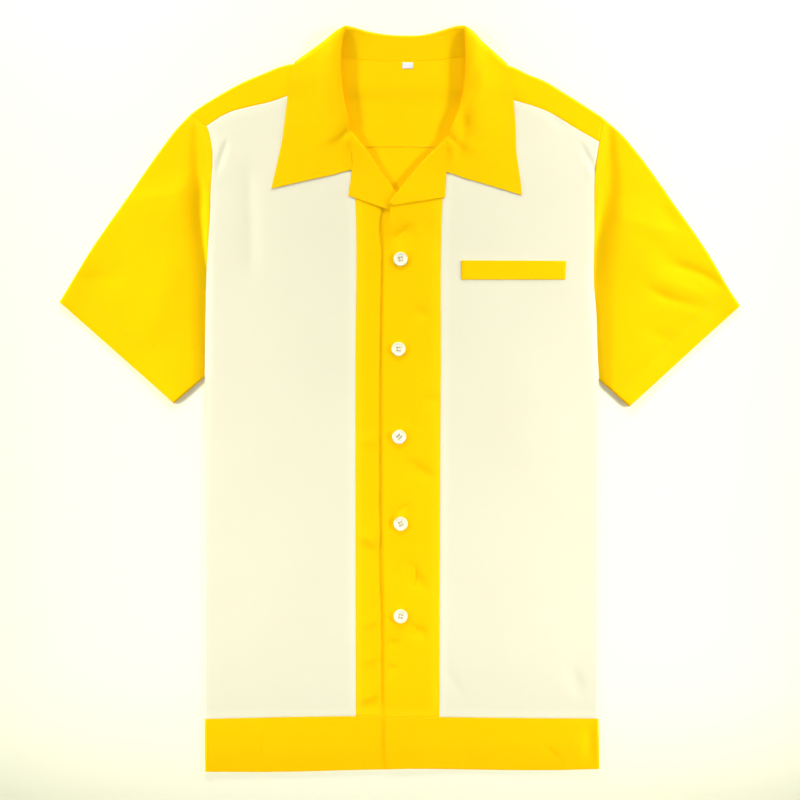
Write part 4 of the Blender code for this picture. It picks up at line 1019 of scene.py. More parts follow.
# -------------------------------------------------------------------- yoke
def shoulder_patch(side, word):
    """One shoulder of the yoke, from the back seam over the fold to the front seam."""
    columns = stops(160.0, YOKE_COLUMNS, end=False)
    outline = curve(side["shoulder"], columns)
    neck_x = side["shoulder"][-1][0]
    seam = back_yoke_seam()
    seam_path = seam[seam[:, 0] * side["sign"] >= abs(neck_x)][:: -side["sign"]]
    path = armhole_path(side)
    back_length = armhole_at(side, side["back_seam_y"])
    back_shares = stops(back_length, YOKE_BACK_ROWS + 1, end=False)
    back_arm = along(path, back_length * (1 - back_shares))
    back_arm[0] = seam_path[0]
    neck_line = curve((seam_path[-1], side["shoulder"][-1]), back_shares)
    back = coons(curve(seam_path, columns), outline, back_arm, neck_line)
    front_length = armhole_at(side, side["yoke_front"][0][1])
    front_shares = stops(front_length, YOKE_FRONT_ROWS + 1, start=False)
    front_arm = along(path, front_length * front_shares)
    front_arm[-1] = side["yoke_front"][0]
    front = coons(
        outline,
        curve(side["yoke_front"], columns),
        front_arm,
        curve(side["neck_yoke"], front_shares),
    )
    under = [over_the_fold(back[::-1, j]) for j in range(len(columns))]
    over = [over_the_fold(front[:, j]) for j in range(len(columns))]
    under, over = (np.array(lines).transpose(1, 0, 2) for lines in (under, over))
    under_z = cloth_back(DOUBLE)(under[..., 0], under[..., 1])
    over_z = cloth_front(f"yoke_{word}", side, DOUBLE)(over[..., 0], over[..., 1])
    relief = seam_relief(over, (side["armhole"], side["yoke_front"]), 400 + side["sign"])[0]
    count = len(FOLD_ANGLES)
    over_z += relief * np.minimum(np.arange(len(over)) / count, 1.0)[:, None]
    low, high = under_z[count - 1], over_z[count - 1]
    middle = (low + high) / 2
    rise = np.sin(np.radians(FOLD_ANGLES))[:, None]
    under_z[:count] = middle + (low - middle) * rise
    over_z[:count] = middle + (high - middle) * rise
    under, over = with_height(under, under_z), with_height(over, over_z)
    return np.concatenate((under[::-1], over[1:]))


def over_the_fold(path):
    """One line of cloth from the fold inwards, with its bend sampled."""
    bend = fold_offsets()
    lengths = chord_lengths(path)
    share = (lengths[2:] - lengths[1]) / (lengths[-1] - lengths[1])
    rest = bend[-1] + share * (lengths[-1] - bend[-1])
    return along(path, np.concatenate((bend, rest)))


def crowded_rows(plan):
    """Brings rows together beside the seams above and below, except at the side borders."""
    across = np.linspace(0, 1, plan.shape[1])
    weights = ease(np.minimum(across, 1 - across) / YOKE_CROWDING_REACH)
    found = []
    for path, weight in zip(plan.transpose(1, 0, 2), weights):
        length = chord_lengths(path)[-1]
        close = stops(length, len(path), near=NEAR_EDGE[:8])
        found.append(along(path, (weight * close + (1 - weight) * share_of(path)) * length))
    return np.array(found).transpose(1, 0, 2)


def yoke_grids():
    """Both shoulders and the back of the neck between them."""
    right = shoulder_patch(RIGHT, "right")
    left = shoulder_patch(LEFT, "left")
    rows = YOKE_BACK_ROWS
    flat = rows + len(FOLD_ANGLES) - 1
    right_edge = right[:rows, -1, :2]
    left_edge = left[:rows, -1, :2]
    seam = back_yoke_seam()
    keep = np.abs(seam[:, 0]) < YOKE_NECK_REACH
    bottom = curve(seam[keep], YOKE_NECK_COLUMNS)
    neck = np.array(NECK_SEAM_BACK)
    neck[0], neck[-1] = right_edge[-1], left_edge[-1]
    middle = coons(bottom, curve(neck, YOKE_NECK_COLUMNS), right_edge, left_edge)
    middle = crowded_rows(middle)
    middle = with_height(middle, cloth_back(DOUBLE)(middle[..., 0], middle[..., 1]))
    middle[:, 0], middle[:, -1] = right[:rows, -1], left[:rows, -1]
    grids = [middle, right, left]
    grids = [pulled_in(grid, ("bottom",)) for grid in grids]
    grids[0][:, 0], grids[0][:, -1] = grids[1][:rows, -1], grids[2][:rows, -1]
    grids[0][-1, 1:-1] = pulled_in(grids[0], ("top",), NECK_GAP)[-1, 1:-1]
    for k in (1, 2):
        grids[k] = pulled_in(grids[k], ("top", "left"))
        edge = pulled_in(grids[k], ("right",))
        grids[k][flat:, -1] = edge[flat:, -1]
    return grids


# ------------------------------------------------------------------ sleeves
def sleeve_grid(side, word):
    """A flattened tube from the armhole to the cuff, in closed sections."""
    shares = stops(170.0, SLEEVE_STATIONS)
    top = curve(side["sleeve_top"], shares)
    under = curve(side["underarm"], shares)
    armhole = armhole_path(side)
    cuff = curve((side["sleeve_top"][-1], side["underarm"][-1]), share_of(armhole))
    plan = coons(top, under, armhole, cuff)
    bend = fold_offsets()
    over, below = [], []
    for k in range(SLEEVE_STATIONS):
        length = chord_lengths(plan[:, k])[-1]
        flat = np.linspace(bend[-1], length - bend[-1], SLEEVE_STOPS)
        at = np.concatenate((bend[:-1], flat, length - bend[:-1][::-1]))
        over.append(along(plan[:, k], at))
    over = np.array(over)
    below = over.copy()
    over_z = cloth_front(f"sleeve_{word}", side, SINGLE)(over[..., 0], over[..., 1])
    cuff_line = (side["sleeve_top"][-1], side["underarm"][-1])
    hem = np.abs(beside(over, cuff_line)[0])
    inner = ease(np.minimum(np.arange(over.shape[1]), np.arange(over.shape[1])[::-1]) / 14)
    relief, double = seam_relief(over, (side["armhole"],), 500 + side["sign"])
    hem_step = 0.22 * ease((HEM_DEPTH - hem) / 1.2) + 0.1 * hem_pucker(over, cuff_line, hem)
    over_z += inner * (relief + hem_step - open_sag(over, cuff_line))
    below_z = cloth_back(SINGLE)(below[..., 0], below[..., 1])
    rise = np.sin(np.radians(FOLD_ANGLES))
    count = len(rise)
    for layer in (over_z, below_z):
        other = below_z if layer is over_z else over_z
        start = (layer[:, count - 1] + other[:, count - 1]) / 2
        end = (layer[:, -count] + other[:, -count]) / 2
        bent_start = start[:, None] + (layer[:, count - 1] - start)[:, None] * rise
        bent_end = end[:, None] + (layer[:, -count] - end)[:, None] * rise[::-1]
        if layer is over_z:
            over_start, over_end = bent_start, bent_end
        else:
            below_start, below_end = bent_start, bent_end
    over_z[:, :count], over_z[:, -count:] = over_start, over_end
    below_z[:, :count], below_z[:, -count:] = below_start, below_end
    over, below = with_height(over, over_z), with_height(below, below_z)
    ring = np.concatenate((over, below[:, 1:-1][:, ::-1]), axis=1)
    double = np.concatenate((double, np.zeros((len(double), below.shape[1] - 2))), axis=1)
    return pulled_in(ring, ("bottom",)), double


def hem_pucker(plan, line, away):
    """Small uneven waves along a hem's stitch line."""
    at = beside(plan, line)[1]
    wave = lattice_noise(np.stack((at, away * 0.4), -1), 11.0, 61)
    return wave * np.exp(-np.abs(away - HEM_DEPTH) / 7.0)


# ------------------------------------------------------------------- collar
def collar_section(row, side):
    """Control points of one section: neck seam, roll, fall and outer edge."""
    settle = np.interp(row["roll_z"], *np.transpose(COLLAR_SETTLE))
    roll = np.array((row["roll_x"], row["roll_y"], row["roll_z"] * settle))
    radius = row["radius"] * COLLAR_SLIM
    bearing, tilt = np.radians(row["bearing"]), np.radians(row["tilt"])
    apex = np.array((np.cos(bearing), np.sin(bearing), 0.0))
    flat = np.array((-apex[1], apex[0], 0.0)) * -side["sign"]
    across = flat * np.cos(tilt) + np.array((0.0, 0.0, np.sin(tilt)))
    points = []
    for angle in np.radians(COLLAR_ROLL_ANGLES):
        depth = row["depth"] * radius * (1 - np.cos(angle))
        points.append(roll - apex * depth + across * radius * np.sin(angle))
    edge = np.array((row["edge_x"], row["edge_y"], 0.0))
    on_front = 0.5 + 0.5 * np.sin(tilt) if row["depth"] == 1.0 else 1.0
    lying = front_mid(edge[0], edge[1], side) + LEAF_LIFT
    edge[2] = on_front * lying + (1 - on_front) * BACK_MID
    middle = points[-1] + FALL_MIDDLE * (edge - points[-1])
    middle[2] = edge[2] + FALL_SAG * on_front * (points[-1][2] - edge[2])
    neck = np.array((row["neck_x"], row["neck_y"], neck_height(row, side)))
    stand = neck - points[0]
    before = points[0] + stand * min(0.4, radius / np.linalg.norm(stand))
    return np.array([neck, before] + points + [middle, edge])


def neck_height(row, side):
    """Height of the collar's neck seam, set by the piece that it is sewn to."""
    x, y = row["neck_x"], row["neck_y"]
    if row["seat"] == "back":
        return back_mid(x, y)
    if row["seat"] == "shoulder":
        return (back_mid(x, y) + front_mid(x, y, side)) / 2
    if row["seat"] == "front":
        return front_mid(x, y, side)
    roll = lapel_roll_height()
    start = lapel_foot(side)
    foot = front_mid(start[:, 0], start[:, 1], side)
    if row["seat"] == "roll":
        return foot[0] + roll[0]
    return float(lapel_height(np.array([[(x, y)]]), side, start, foot, 2 * roll)[0, 0])


def collar_grid():
    """The collar as a loft through its sections, kept above the floor."""
    sections = []
    for values in COLLAR_SECTIONS:
        row = dict(zip(COLLAR_COLUMNS, values))
        sections.append(collar_section(row, RIGHT if row["roll_x"] < 0 else LEFT))
    sections = np.array(sections)
    count = len(sections)
    spacing = chord_lengths(sections.reshape(count, -1))
    places = np.arange((count - 1) * COLLAR_ROWS_PER_SECTION + 1) / COLLAR_ROWS_PER_SECTION
    close = np.array(NEAR_EDGE[:COLLAR_END_ROWS]) / COLLAR_END_GAP
    places = places[(places > close[-1] + 0.04) & (places < count - 1 - close[-1] - 0.04)]
    places = np.concatenate((close, places, count - 1 - close[::-1]))
    at = np.interp(places, np.arange(count), spacing)
    dense = spline(sections.reshape(count, -1), at).reshape(len(at), -1, 3)
    grid = np.array([across_section(points) for points in dense])
    share = np.arange(grid.shape[1]) / sum(COLLAR_STEPS)
    fall = ease((share - COLLAR_FALL_START) / 0.1)
    for word in ("right", "left"):
        grid[..., 2] += fall * creases(grid[..., :2], f"collar_{word}")
    grid[..., 2] = np.maximum(grid[..., 2], DOUBLE / 2)
    return grid


def across_section(points):
    """One smooth line of cloth across the collar, from the neck seam to the edge."""
    knots = chord_lengths(points)
    steep = abs(points[1][2] - points[0][2]) / knots[1]
    at = [COLLAR_NECK_CLEARANCE[0] + COLLAR_NECK_CLEARANCE[1] * steep]
    stand = np.linspace(0.0, 1.0, COLLAR_STEPS[0] + 1)[1:] ** COLLAR_CROWDING
    at.extend(at[0] + (knots[1] - at[0]) * stand)
    for k, steps in enumerate(COLLAR_STEPS[1:-1], 1):
        at.extend(np.linspace(knots[k], knots[k + 1], steps + 1)[1:])
    last = knots[-1] - knots[-2]
    at.extend(knots[-2] + last * stops(last, COLLAR_STEPS[-1] + 1, start=False)[1:])
    return spline(points, np.array(at))


# ------------------------------------------------------------- small pieces
def patch_on(piece, mid, thickness, columns, rows):
    """A four-sided piece that lies on the cloth below it."""
    corners = piece["corners"]
    width = corners[1][0] - corners[0][0]
    height = corners[3][1] - corners[0][1]
    across, up = np.linspace(0, 1, columns), np.linspace(0, 1, rows)
    if height > 2 * NEAR_EDGE[-1]:
        across, up = stops(width, columns), stops(height, rows)
    plan = coons(
        curve(corners[:2], across),
        curve(corners[:1:-1], across),
        curve((corners[0], corners[3]), up),
        curve((corners[1], corners[2]), up),
    )
    return with_height(plan, mid(plan[..., 0], plan[..., 1]) + thickness / 2 + 0.03)


# ------------------------------------------------------------------ meshes
def add_sheet(name, grids, material, wall, ring=False, double=None, grain=None, turn=0.0):
    """One closed cloth body: welded grids given a wall by Solidify."""
    mesh = bpy.data.meshes.new(name)
    build = bmesh.new()
    grain_layer = build.verts.layers.float_vector.new("grain")
    double_layer = build.verts.layers.float.new("double")
    for grid in grids:
        rows, columns = grid.shape[:2]
        flat_grain = (turned(grid[..., :2], turn) if grain is None else grain).reshape(-1, 2)
        flat_double = np.zeros(len(flat_grain)) if double is None else double.ravel()
        verts = [build.verts.new(point) for point in (grid * MM).reshape(-1, 3)]
        for vert, at, amount in zip(verts, flat_grain * MM, flat_double):
            vert[grain_layer] = (at[0], at[1], 0.0)
            vert[double_layer] = amount
        last = columns if ring else columns - 1
        for i in range(rows - 1):
            for j in range(last):
                k = (j + 1) % columns
                corners = (i * columns + j, i * columns + k, (i + 1) * columns + k, (i + 1) * columns + j)
                build.faces.new([verts[index] for index in corners])
    bmesh.ops.remove_doubles(build, verts=build.verts, dist=WELD_DISTANCE * MM)
    bmesh.ops.recalc_face_normals(build, faces=build.faces)
    build.to_mesh(mesh)
    build.free()
    mesh.polygons.foreach_set("use_smooth", [True] * len(mesh.polygons))
    mesh.materials.append(material)
    cloth = bpy.data.objects.new(name, mesh)
    bpy.context.scene.collection.objects.link(cloth)
    solid = cloth.modifiers.new("wall", "SOLIDIFY")
    solid.thickness = wall * MM
    solid.offset = 0.0
    solid.use_even_offset = False
    solid.use_quality_normals = True
    return cloth


def grid_normals(grid):
    """Unit normals of a grid's surface."""
    normal = np.cross(np.gradient(grid, axis=1), np.gradient(grid, axis=0))
    return normal / np.maximum(np.linalg.norm(normal, axis=-1, keepdims=True), 1e-9)


def inset_line(grid, border, distance, first=0, last=None):
    """Points and normals of a line that runs at a distance inside a border of a grid."""
    normals = grid_normals(grid)
    both = np.concatenate((grid, normals), axis=-1)
    if border in ("bottom", "top"):
        both = both.transpose(1, 0, 2)
    if border in ("right", "top"):
        both = both[:, ::-1]
    found = []
    for path in both[first:last]:
        at = np.clip(distance, 0, chord_lengths(path[:, :3])[-1])
        lengths = chord_lengths(path[:, :3])
        found.append([np.interp(at, lengths, path[:, k]) for k in range(6)])
    found = np.array(found)
    return found[:, :3], found[:, 3:]


def upright(points, normals, wall):
    """A line of the cloth's middle moved to its upper face."""
    normals = normals * np.where(normals[:, 2:] < 0, -1.0, 1.0)
    return points + normals * wall / 2, normals


STITCH = {"length": 2.3, "pitch": 2.9, "radius": 0.17, "sides": 6, "sink": 0.04}


# along a stitch: place as a share of its length, thickness and rise as shares of its radius
STITCH_PROFILE = ((-0.5, 0.25, -0.3), (-0.36, 0.8, 0.5), (0.0, 1.0, 1.0), (0.36, 0.8, 0.5), (0.5, 0.25, -0.3))
STITCH_RISE = 0.6


def tube_faces(start, rings, sides):
    """Faces of a closed tube whose rings of vertices follow each other from start."""
    faces = []
    for ring in range(rings - 1):
        for k in range(sides):
            a, b = start + ring * sides + k, start + ring * sides + (k + 1) % sides
            faces.append((a, b, b + sides, a + sides))
    faces.append(tuple(start + k for k in range(sides))[::-1])
    faces.append(tuple(start + (rings - 1) * sides + k for k in range(sides)))
    return faces


def thread_object(name, verts, faces, material):
    """Smooth thread from vertices in millimetres and their faces."""
    mesh = bpy.data.meshes.new(name)
    mesh.from_pydata([tuple(np.array(vert) * MM) for vert in verts], [], faces)
    mesh.update()
    build = bmesh.new()
    build.from_mesh(mesh)
    bmesh.ops.recalc_face_normals(build, faces=build.faces)
    build.to_mesh(mesh)
    build.free()
    mesh.polygons.foreach_set("use_smooth", [True] * len(mesh.polygons))
    mesh.materials.append(material)
    threads = bpy.data.objects.new(name, mesh)
    bpy.context.scene.collection.objects.link(threads)
    return threads


def add_stitches(name, lines, material, style=STITCH):
    """Rows of machine stitches as one mesh; each line is (points, normals) in millimetres."""
    verts, faces = [], []
    turn = np.linspace(0, 2 * np.pi, style["sides"], endpoint=False)
    for points, normals in lines:
        lengths = chord_lengths(points)
        both = np.concatenate((points, normals), axis=1)
        centres = np.arange(style["pitch"] / 2, lengths[-1] - style["pitch"] / 4, style["pitch"])
        for centre in centres:
            half = style["length"] / 2
            ends = along_path(both, lengths, np.array((centre - half, centre, centre + half)))
            way = ends[2, :3] - ends[0, :3]
            way /= np.linalg.norm(way)
            up = ends[1, 3:] / np.linalg.norm(ends[1, 3:])
            up = up - way * (up @ way)
            up /= np.linalg.norm(up)
            aside = np.cross(way, up)
            faces += tube_faces(len(verts), len(STITCH_PROFILE), style["sides"])
            for share, fat, lift in STITCH_PROFILE:
                middle = ends[1, :3] + way * share * style["length"]
                middle = middle + up * (lift * style["radius"] * STITCH_RISE - style["sink"])
                for angle in turn:
                    around = aside * np.cos(angle) + up * np.sin(angle)
                    verts.append(middle + around * style["radius"] * fat)
    return thread_object(name, verts, faces, material)


def along_path(both, lengths, at):
    return np.stack([np.interp(at, lengths, both[:, k]) for k in range(both.shape[1])], 1)


# ----------------------------------------------------------------- buttons
# radius and height of a button's outline, from its foot over its rim to its dish
BUTTON_OUTLINE = ((6.2, 0.0), (7.1, 0.5), (7.4, 1.2), (7.25, 2.4), (6.65, 2.8), (5.9, 2.65), (4.9, 2.1))
BUTTON_TURNS = (10.0, 2.0, 45.0, 24.0, -12.0)
BUTTON_SEGMENTS = 72
DISH = 2.1
HOLE_OFFSET = 1.6
HOLE_RINGS = ((1.02, DISH), (0.9, DISH - 0.12), (0.86, 0.6), (0.86, 0.0))
HOLE_SEGMENTS = 20
THREAD_RADIUS = 0.17
THREAD_SPREAD = 0.3


def add_button(number, place, material, collection_top):
    """A fine four-hole button, turned as it was sewn on."""
    x, y = place
    turn = np.linspace(0, 2 * np.pi, BUTTON_SEGMENTS, endpoint=False)
    reach = BUTTON_OUTLINE[2][0]
    around = collection_top(x + reach * np.cos(turn), y + reach * np.sin(turn))
    base = around.max() + 0.12
    spin = math.radians(BUTTON_TURNS[number - 1])
    build = bmesh.new()

    def ring(centre_x, centre_y, radius, height, count):
        found = []
        for angle in np.linspace(0, 2 * np.pi, count, endpoint=False):
            flat_x = centre_x + radius * np.cos(angle)
            flat_y = centre_y + radius * np.sin(angle)
            point_x = x + flat_x * math.cos(spin) - flat_y * math.sin(spin)
            point_y = y + flat_x * math.sin(spin) + flat_y * math.cos(spin)
            found.append(build.verts.new((point_x * MM, point_y * MM, (base + height) * MM)))
        return found

    def wall(rings):
        for low, high in zip(rings, rings[1:]):
            for k in range(len(low)):
                n = (k + 1) % len(low)
                build.faces.new((low[k], low[n], high[n], high[k]))

    outline = [ring(0, 0, r, h, BUTTON_SEGMENTS) for r, h in curve(BUTTON_OUTLINE, 34)]
    outline.append(ring(0, 0, 4.7, DISH, BUTTON_SEGMENTS))
    wall(outline)
    holes = []
    for side_x in (-1, 1):
        for side_y in (-1, 1):
            centre = (side_x * HOLE_OFFSET, side_y * HOLE_OFFSET)
            rings = [ring(*centre, radius, height, HOLE_SEGMENTS) for radius, height in HOLE_RINGS]
            wall(rings)
            holes.append(rings)
    for rim, number_of_ring in ((outline[-1], 0), (outline[0], -1)):
        edges = []
        for loop in [rim] + [rings[number_of_ring] for rings in holes]:
            for k in range(len(loop)):
                pair = (loop[k], loop[(k + 1) % len(loop)])
                edges.append(build.edges.get(pair) or build.edges.new(pair))
        bmesh.ops.triangle_fill(build, use_beauty=True, use_dissolve=False, edges=edges)
    bmesh.ops.recalc_face_normals(build, faces=build.faces)
    for edge in build.edges:
        edge.smooth = edge.calc_face_angle(0.0) < math.radians(50)
    mesh = bpy.data.meshes.new(f"four_hole_button_{number}")
    build.to_mesh(mesh)
    build.free()
    mesh.polygons.foreach_set("use_smooth", [True] * len(mesh.polygons))
    mesh.materials.append(material)
    button = bpy.data.objects.new(mesh.name, mesh)
    bpy.context.scene.collection.objects.link(button)
    return button, (x, y, base, spin)


# a strand from hole to hole: place as a share of the holes' offset, height over the dish
STRAND_HALF = ((-1.0, -1.7), (-0.98, -0.5), (-0.8, 0.16), (-0.4, 0.34))
STRAND_PATH = STRAND_HALF + tuple((-share, height) for share, height in STRAND_HALF[::-1])
STRAND_SIDES = 8
OUTER_STRAND_SHIFT = 0.35
OUTER_STRAND_DROP = 0.06


def button_threads(places, material):
    """Strands that cross each button from hole to hole, as one mesh."""
    verts, faces = [], []
    sides = np.linspace(0, 2 * np.pi, STRAND_SIDES, endpoint=False)
    for x, y, base, spin in places:
        for row in (-1, 1):
            for strand in (-1, 0, 1):
                faces += tube_faces(len(verts), len(STRAND_PATH), STRAND_SIDES)
                for share, height in STRAND_PATH:
                    off = row * HOLE_OFFSET + strand * THREAD_SPREAD
                    for angle in sides:
                        flat_x = share * HOLE_OFFSET + OUTER_STRAND_SHIFT * abs(strand) * THREAD_RADIUS
                        flat_y = off + THREAD_RADIUS * np.cos(angle)
                        z = base + DISH + height + THREAD_RADIUS * np.sin(angle)
                        z -= OUTER_STRAND_DROP * abs(strand)
                        point_x = x + flat_x * math.cos(spin) - flat_y * math.sin(spin)
                        point_y = y + flat_x * math.sin(spin) + flat_y * math.cos(spin)
                        verts.append((point_x, point_y, z))
    return thread_object("button_threads", verts, faces, material)


# --------------------------------------------------------------- materials
def node(tree, kind, **values):
    """A node with its settings and unlinked inputs set."""
    made = tree.nodes.new(kind)
    for key, value in values.items():
        if key.startswith("in_"):
            slot = key[3:]
            made.inputs[int(slot) if slot.isdigit() else slot.replace("_", " ")].default_value = value
        else:
            setattr(made, key, value)
    return made


def math_node(tree, operation, first, second=None):
    made = node(tree, "ShaderNodeMath", operation=operation)
    for k, value in enumerate((first, second)):
        if value is None:
            continue
        if isinstance(value, (int, float)):
            made.inputs[k].default_value = value
        else:
            tree.links.new(value, made.inputs[k])
    return made.outputs[0]


def scaled(tree, vector, scale):
    made = node(tree, "ShaderNodeMapping")
    made.inputs["Scale"].default_value = scale
    tree.links.new(vector, made.inputs["Vector"])
    return made.outputs["Vector"]


def noise(tree, vector, scale, detail=2.0, rough=0.5):
    made = node(tree, "ShaderNodeTexNoise", in_Scale=scale, in_Detail=detail, in_Roughness=rough)
    tree.links.new(vector, made.inputs["Vector"])
    return made.outputs["Fac"]


def mixed(tree, amount, first, second):
    """A colour between two others."""
    made = node(tree, "ShaderNodeMix", data_type="RGBA")
    for slot, value in ((0, amount), (6, first), (7, second)):
        if isinstance(value, tuple):
            made.inputs[slot].default_value = (*value, 1.0)
        elif isinstance(value, (int, float)):
            made.inputs[slot].default_value = value
        else:
            tree.links.new(value, made.inputs[slot])
    return made.outputs[2]


def new_material(name, roughness):
    material = bpy.data.materials.new(name)
    material.use_nodes = True
    tree = material.node_tree
    shader = tree.nodes["Principled BSDF"]
    shader.inputs["Roughness"].default_value = roughness
    return material, tree, shader


def poplin(name, colour, deep, pale, sheen, weave=0.42):
    """Cotton poplin: plain weave with fine cross ribs, uneven yarn and a soft crinkle."""
    material, tree, shader = new_material(name, 0.82)
    shader.inputs["Sheen Weight"].default_value = 0.1
    shader.inputs["Sheen Roughness"].default_value = 0.45
    shader.inputs["Sheen Tint"].default_value = (*sheen, 1.0)
    shader.inputs["Specular IOR Level"].default_value = 0.2
    shader.inputs["Specular Tint"].default_value = (*sheen, 1.0)
    grain = node(tree, "ShaderNodeAttribute", attribute_name="grain").outputs["Vector"]
    double = node(tree, "ShaderNodeAttribute", attribute_name="double").outputs["Fac"]
    warp = noise(tree, scaled(tree, grain, (2600.0, 90.0, 1.0)), 1.0)
    weft = noise(tree, scaled(tree, grain, (90.0, 2200.0, 1.0)), 1.0)
    cloud = noise(tree, grain, 13.0, 3.0)
    yarn = math_node(tree, "ADD", warp, weft)
    yarn = math_node(tree, "MULTIPLY", math_node(tree, "SUBTRACT", yarn, 0.75), 0.9)
    tone = mixed(tree, math_node(tree, "MULTIPLY", yarn, 0.55), colour, deep)
    tone = mixed(tree, math_node(tree, "MULTIPLY", math_node(tree, "SUBTRACT", cloud, 0.35), 0.5), tone, deep)
    tone = mixed(tree, math_node(tree, "MULTIPLY", double, 0.5), tone, pale)
    tree.links.new(tone, shader.inputs["Base Color"])
    parts = node(tree, "ShaderNodeSeparateXYZ")
    tree.links.new(grain, parts.inputs[0])
    turn_x = math_node(tree, "MULTIPLY", parts.outputs[0], 2 * math.pi / (weave * MM))
    turn_y = math_node(tree, "MULTIPLY", parts.outputs[1], 2 * math.pi / (0.8 * weave * MM))
    over = math_node(tree, "MULTIPLY", math_node(tree, "SINE", turn_x), math_node(tree, "SINE", turn_y))
    ribs = math_node(tree, "MULTIPLY", math_node(tree, "SINE", turn_y), 0.35)
    cloth = math_node(tree, "ADD", over, math_node(tree, "ADD", ribs, math_node(tree, "MULTIPLY", yarn, 1.2)))
    fine = node(tree, "ShaderNodeBump", in_Strength=0.5, in_Distance=0.03 * MM)
    tree.links.new(cloth, fine.inputs["Height"])
    crinkle = math_node(
        tree,
        "ADD",
        noise(tree, scaled(tree, grain, (1.0, 0.7, 1.0)), 95.0, 3.0, 0.55),
        math_node(tree, "MULTIPLY", noise(tree, grain, 420.0, 2.0), 0.25),
    )
    soft = node(tree, "ShaderNodeBump", in_Strength=1.0, in_Distance=0.1 * MM)
    tree.links.new(crinkle, soft.inputs["Height"])
    tree.links.new(soft.outputs["Normal"], fine.inputs["Normal"])
    tree.links.new(fine.outputs["Normal"], shader.inputs["Normal"])
    rough = node(tree, "ShaderNodeMapRange", in_3=0.78, in_4=0.9)
    tree.links.new(yarn, rough.inputs[0])
    tree.links.new(rough.outputs[0], shader.inputs["Roughness"])
    return material


def thread(name, colour, deep):
    """Twisted sewing thread, slightly glossier than the cloth."""
    material, tree, shader = new_material(name, 0.55)
    shader.inputs["Specular IOR Level"].default_value = 0.35
    place = node(tree, "ShaderNodeTexCoord").outputs["Object"]
    twist = noise(tree, place, 3200.0, 1.0)
    tree.links.new(mixed(tree, twist, colour, deep), shader.inputs["Base Color"])
    bump = node(tree, "ShaderNodeBump", in_Strength=0.6, in_Distance=0.05 * MM)
    tree.links.new(twist, bump.inputs["Height"])
    tree.links.new(bump.outputs["Normal"], shader.inputs["Normal"])
    return material


def button_resin(name, colour, deep):
    """Ivory polyester resin with faint clouding."""
    material, tree, shader = new_material(name, 0.28)
    shader.inputs["Coat Weight"].default_value = 0.25
    shader.inputs["Coat Roughness"].default_value = 0.12
    shader.inputs["Subsurface Weight"].default_value = 0.08
    shader.inputs["Subsurface Radius"].default_value = (0.0015, 0.0012, 0.0009)
    place = node(tree, "ShaderNodeTexCoord").outputs["Object"]
    cloud = noise(tree, scaled(tree, place, (1.0, 2.4, 1.0)), 180.0, 3.0)
    tree.links.new(mixed(tree, cloud, colour, deep), shader.inputs["Base Color"])
    rough = node(tree, "ShaderNodeMapRange", in_3=0.22, in_4=0.36)
    tree.links.new(noise(tree, place, 900.0, 2.0), rough.inputs[0])
    tree.links.new(rough.outputs[0], shader.inputs["Roughness"])
    return material


def satin_label(name, colour, deep):
    """Blank woven label with a fine satin rib."""
    material, tree, shader = new_material(name, 0.5)
    shader.inputs["Sheen Weight"].default_value = 0.2
    place = node(tree, "ShaderNodeTexCoord").outputs["Object"]
    parts = node(tree, "ShaderNodeSeparateXYZ")
    tree.links.new(place, parts.inputs[0])
    rib = math_node(tree, "SINE", math_node(tree, "MULTIPLY", parts.outputs[1], 2 * math.pi / (0.3 * MM)))
    tree.links.new(mixed(tree, math_node(tree, "MULTIPLY", rib, 0.3), colour, deep), shader.inputs["Base Color"])
    bump = node(tree, "ShaderNodeBump", in_Strength=0.5, in_Distance=0.03 * MM)
    tree.links.new(rib, bump.inputs["Height"])
    tree.links.new(bump.outputs["Normal"], shader.inputs["Normal"])
    return material


def floor_paper(name, colour, deep):
    """Matt pale paper of the studio floor."""
    material, tree, shader = new_material(name, 0.9)
    shader.inputs["Specular IOR Level"].default_value = 0.15
    place = node(tree, "ShaderNodeTexCoord").outputs["Object"]
    tone = mixed(tree, noise(tree, place, 3.0, 2.0), colour, deep)
    tree.links.new(tone, shader.inputs["Base Color"])
    bump = node(tree, "ShaderNodeBump", in_Strength=0.2, in_Distance=0.05 * MM)
    tree.links.new(noise(tree, place, 900.0, 2.0), bump.inputs["Height"])
    tree.links.new(bump.outputs["Normal"], shader.inputs["Normal"])
    return material


YELLOW = poplin(
    "yellow_poplin_fine", (0.97, 0.568, 0.001), (0.95, 0.512, 0.0008), (0.975, 0.63, 0.004), (1.0, 0.6, 0.02)
)
CREAM = poplin(
    "cream_poplin_fine", (0.76, 0.736, 0.543), (0.719, 0.686, 0.492), (0.805, 0.79, 0.568), (1.0, 0.97, 0.8)
)
YELLOW_THREAD = thread("yellow_thread", (0.97, 0.57, 0.002), (0.9, 0.46, 0.001))
IVORY_THREAD = thread("ivory_thread", (0.70, 0.64, 0.45), (0.5, 0.43, 0.28))
RESIN = button_resin("ivory_resin", (0.85, 0.84, 0.62), (0.81, 0.79, 0.56))
LABEL_CLOTH = satin_label("white_satin", (0.74, 0.74, 0.72), (0.68, 0.68, 0.66))
PAPER = floor_paper("floor_paper", (0.93, 0.93, 0.69), (0.925, 0.925, 0.685))


# ------------------------------------------------------------------- build
pieces = []


def dress(name, grids, material, wall, slot, flat, rests, held="laid", ring=False, **more):
    """One cloth piece in place of its CAD node, which it hides."""
    cloth = add_sheet(f"{name}_cloth", grids, material, wall, ring=ring, **more)
    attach(cloth, "root")
    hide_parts(name)
    pieces.append(cloth)
    return cloth


def sew(name, lines, material=None, style=STITCH):
    threads = add_stitches(name, lines, material or YELLOW_THREAD, style)
    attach(threads, "root")
    return threads


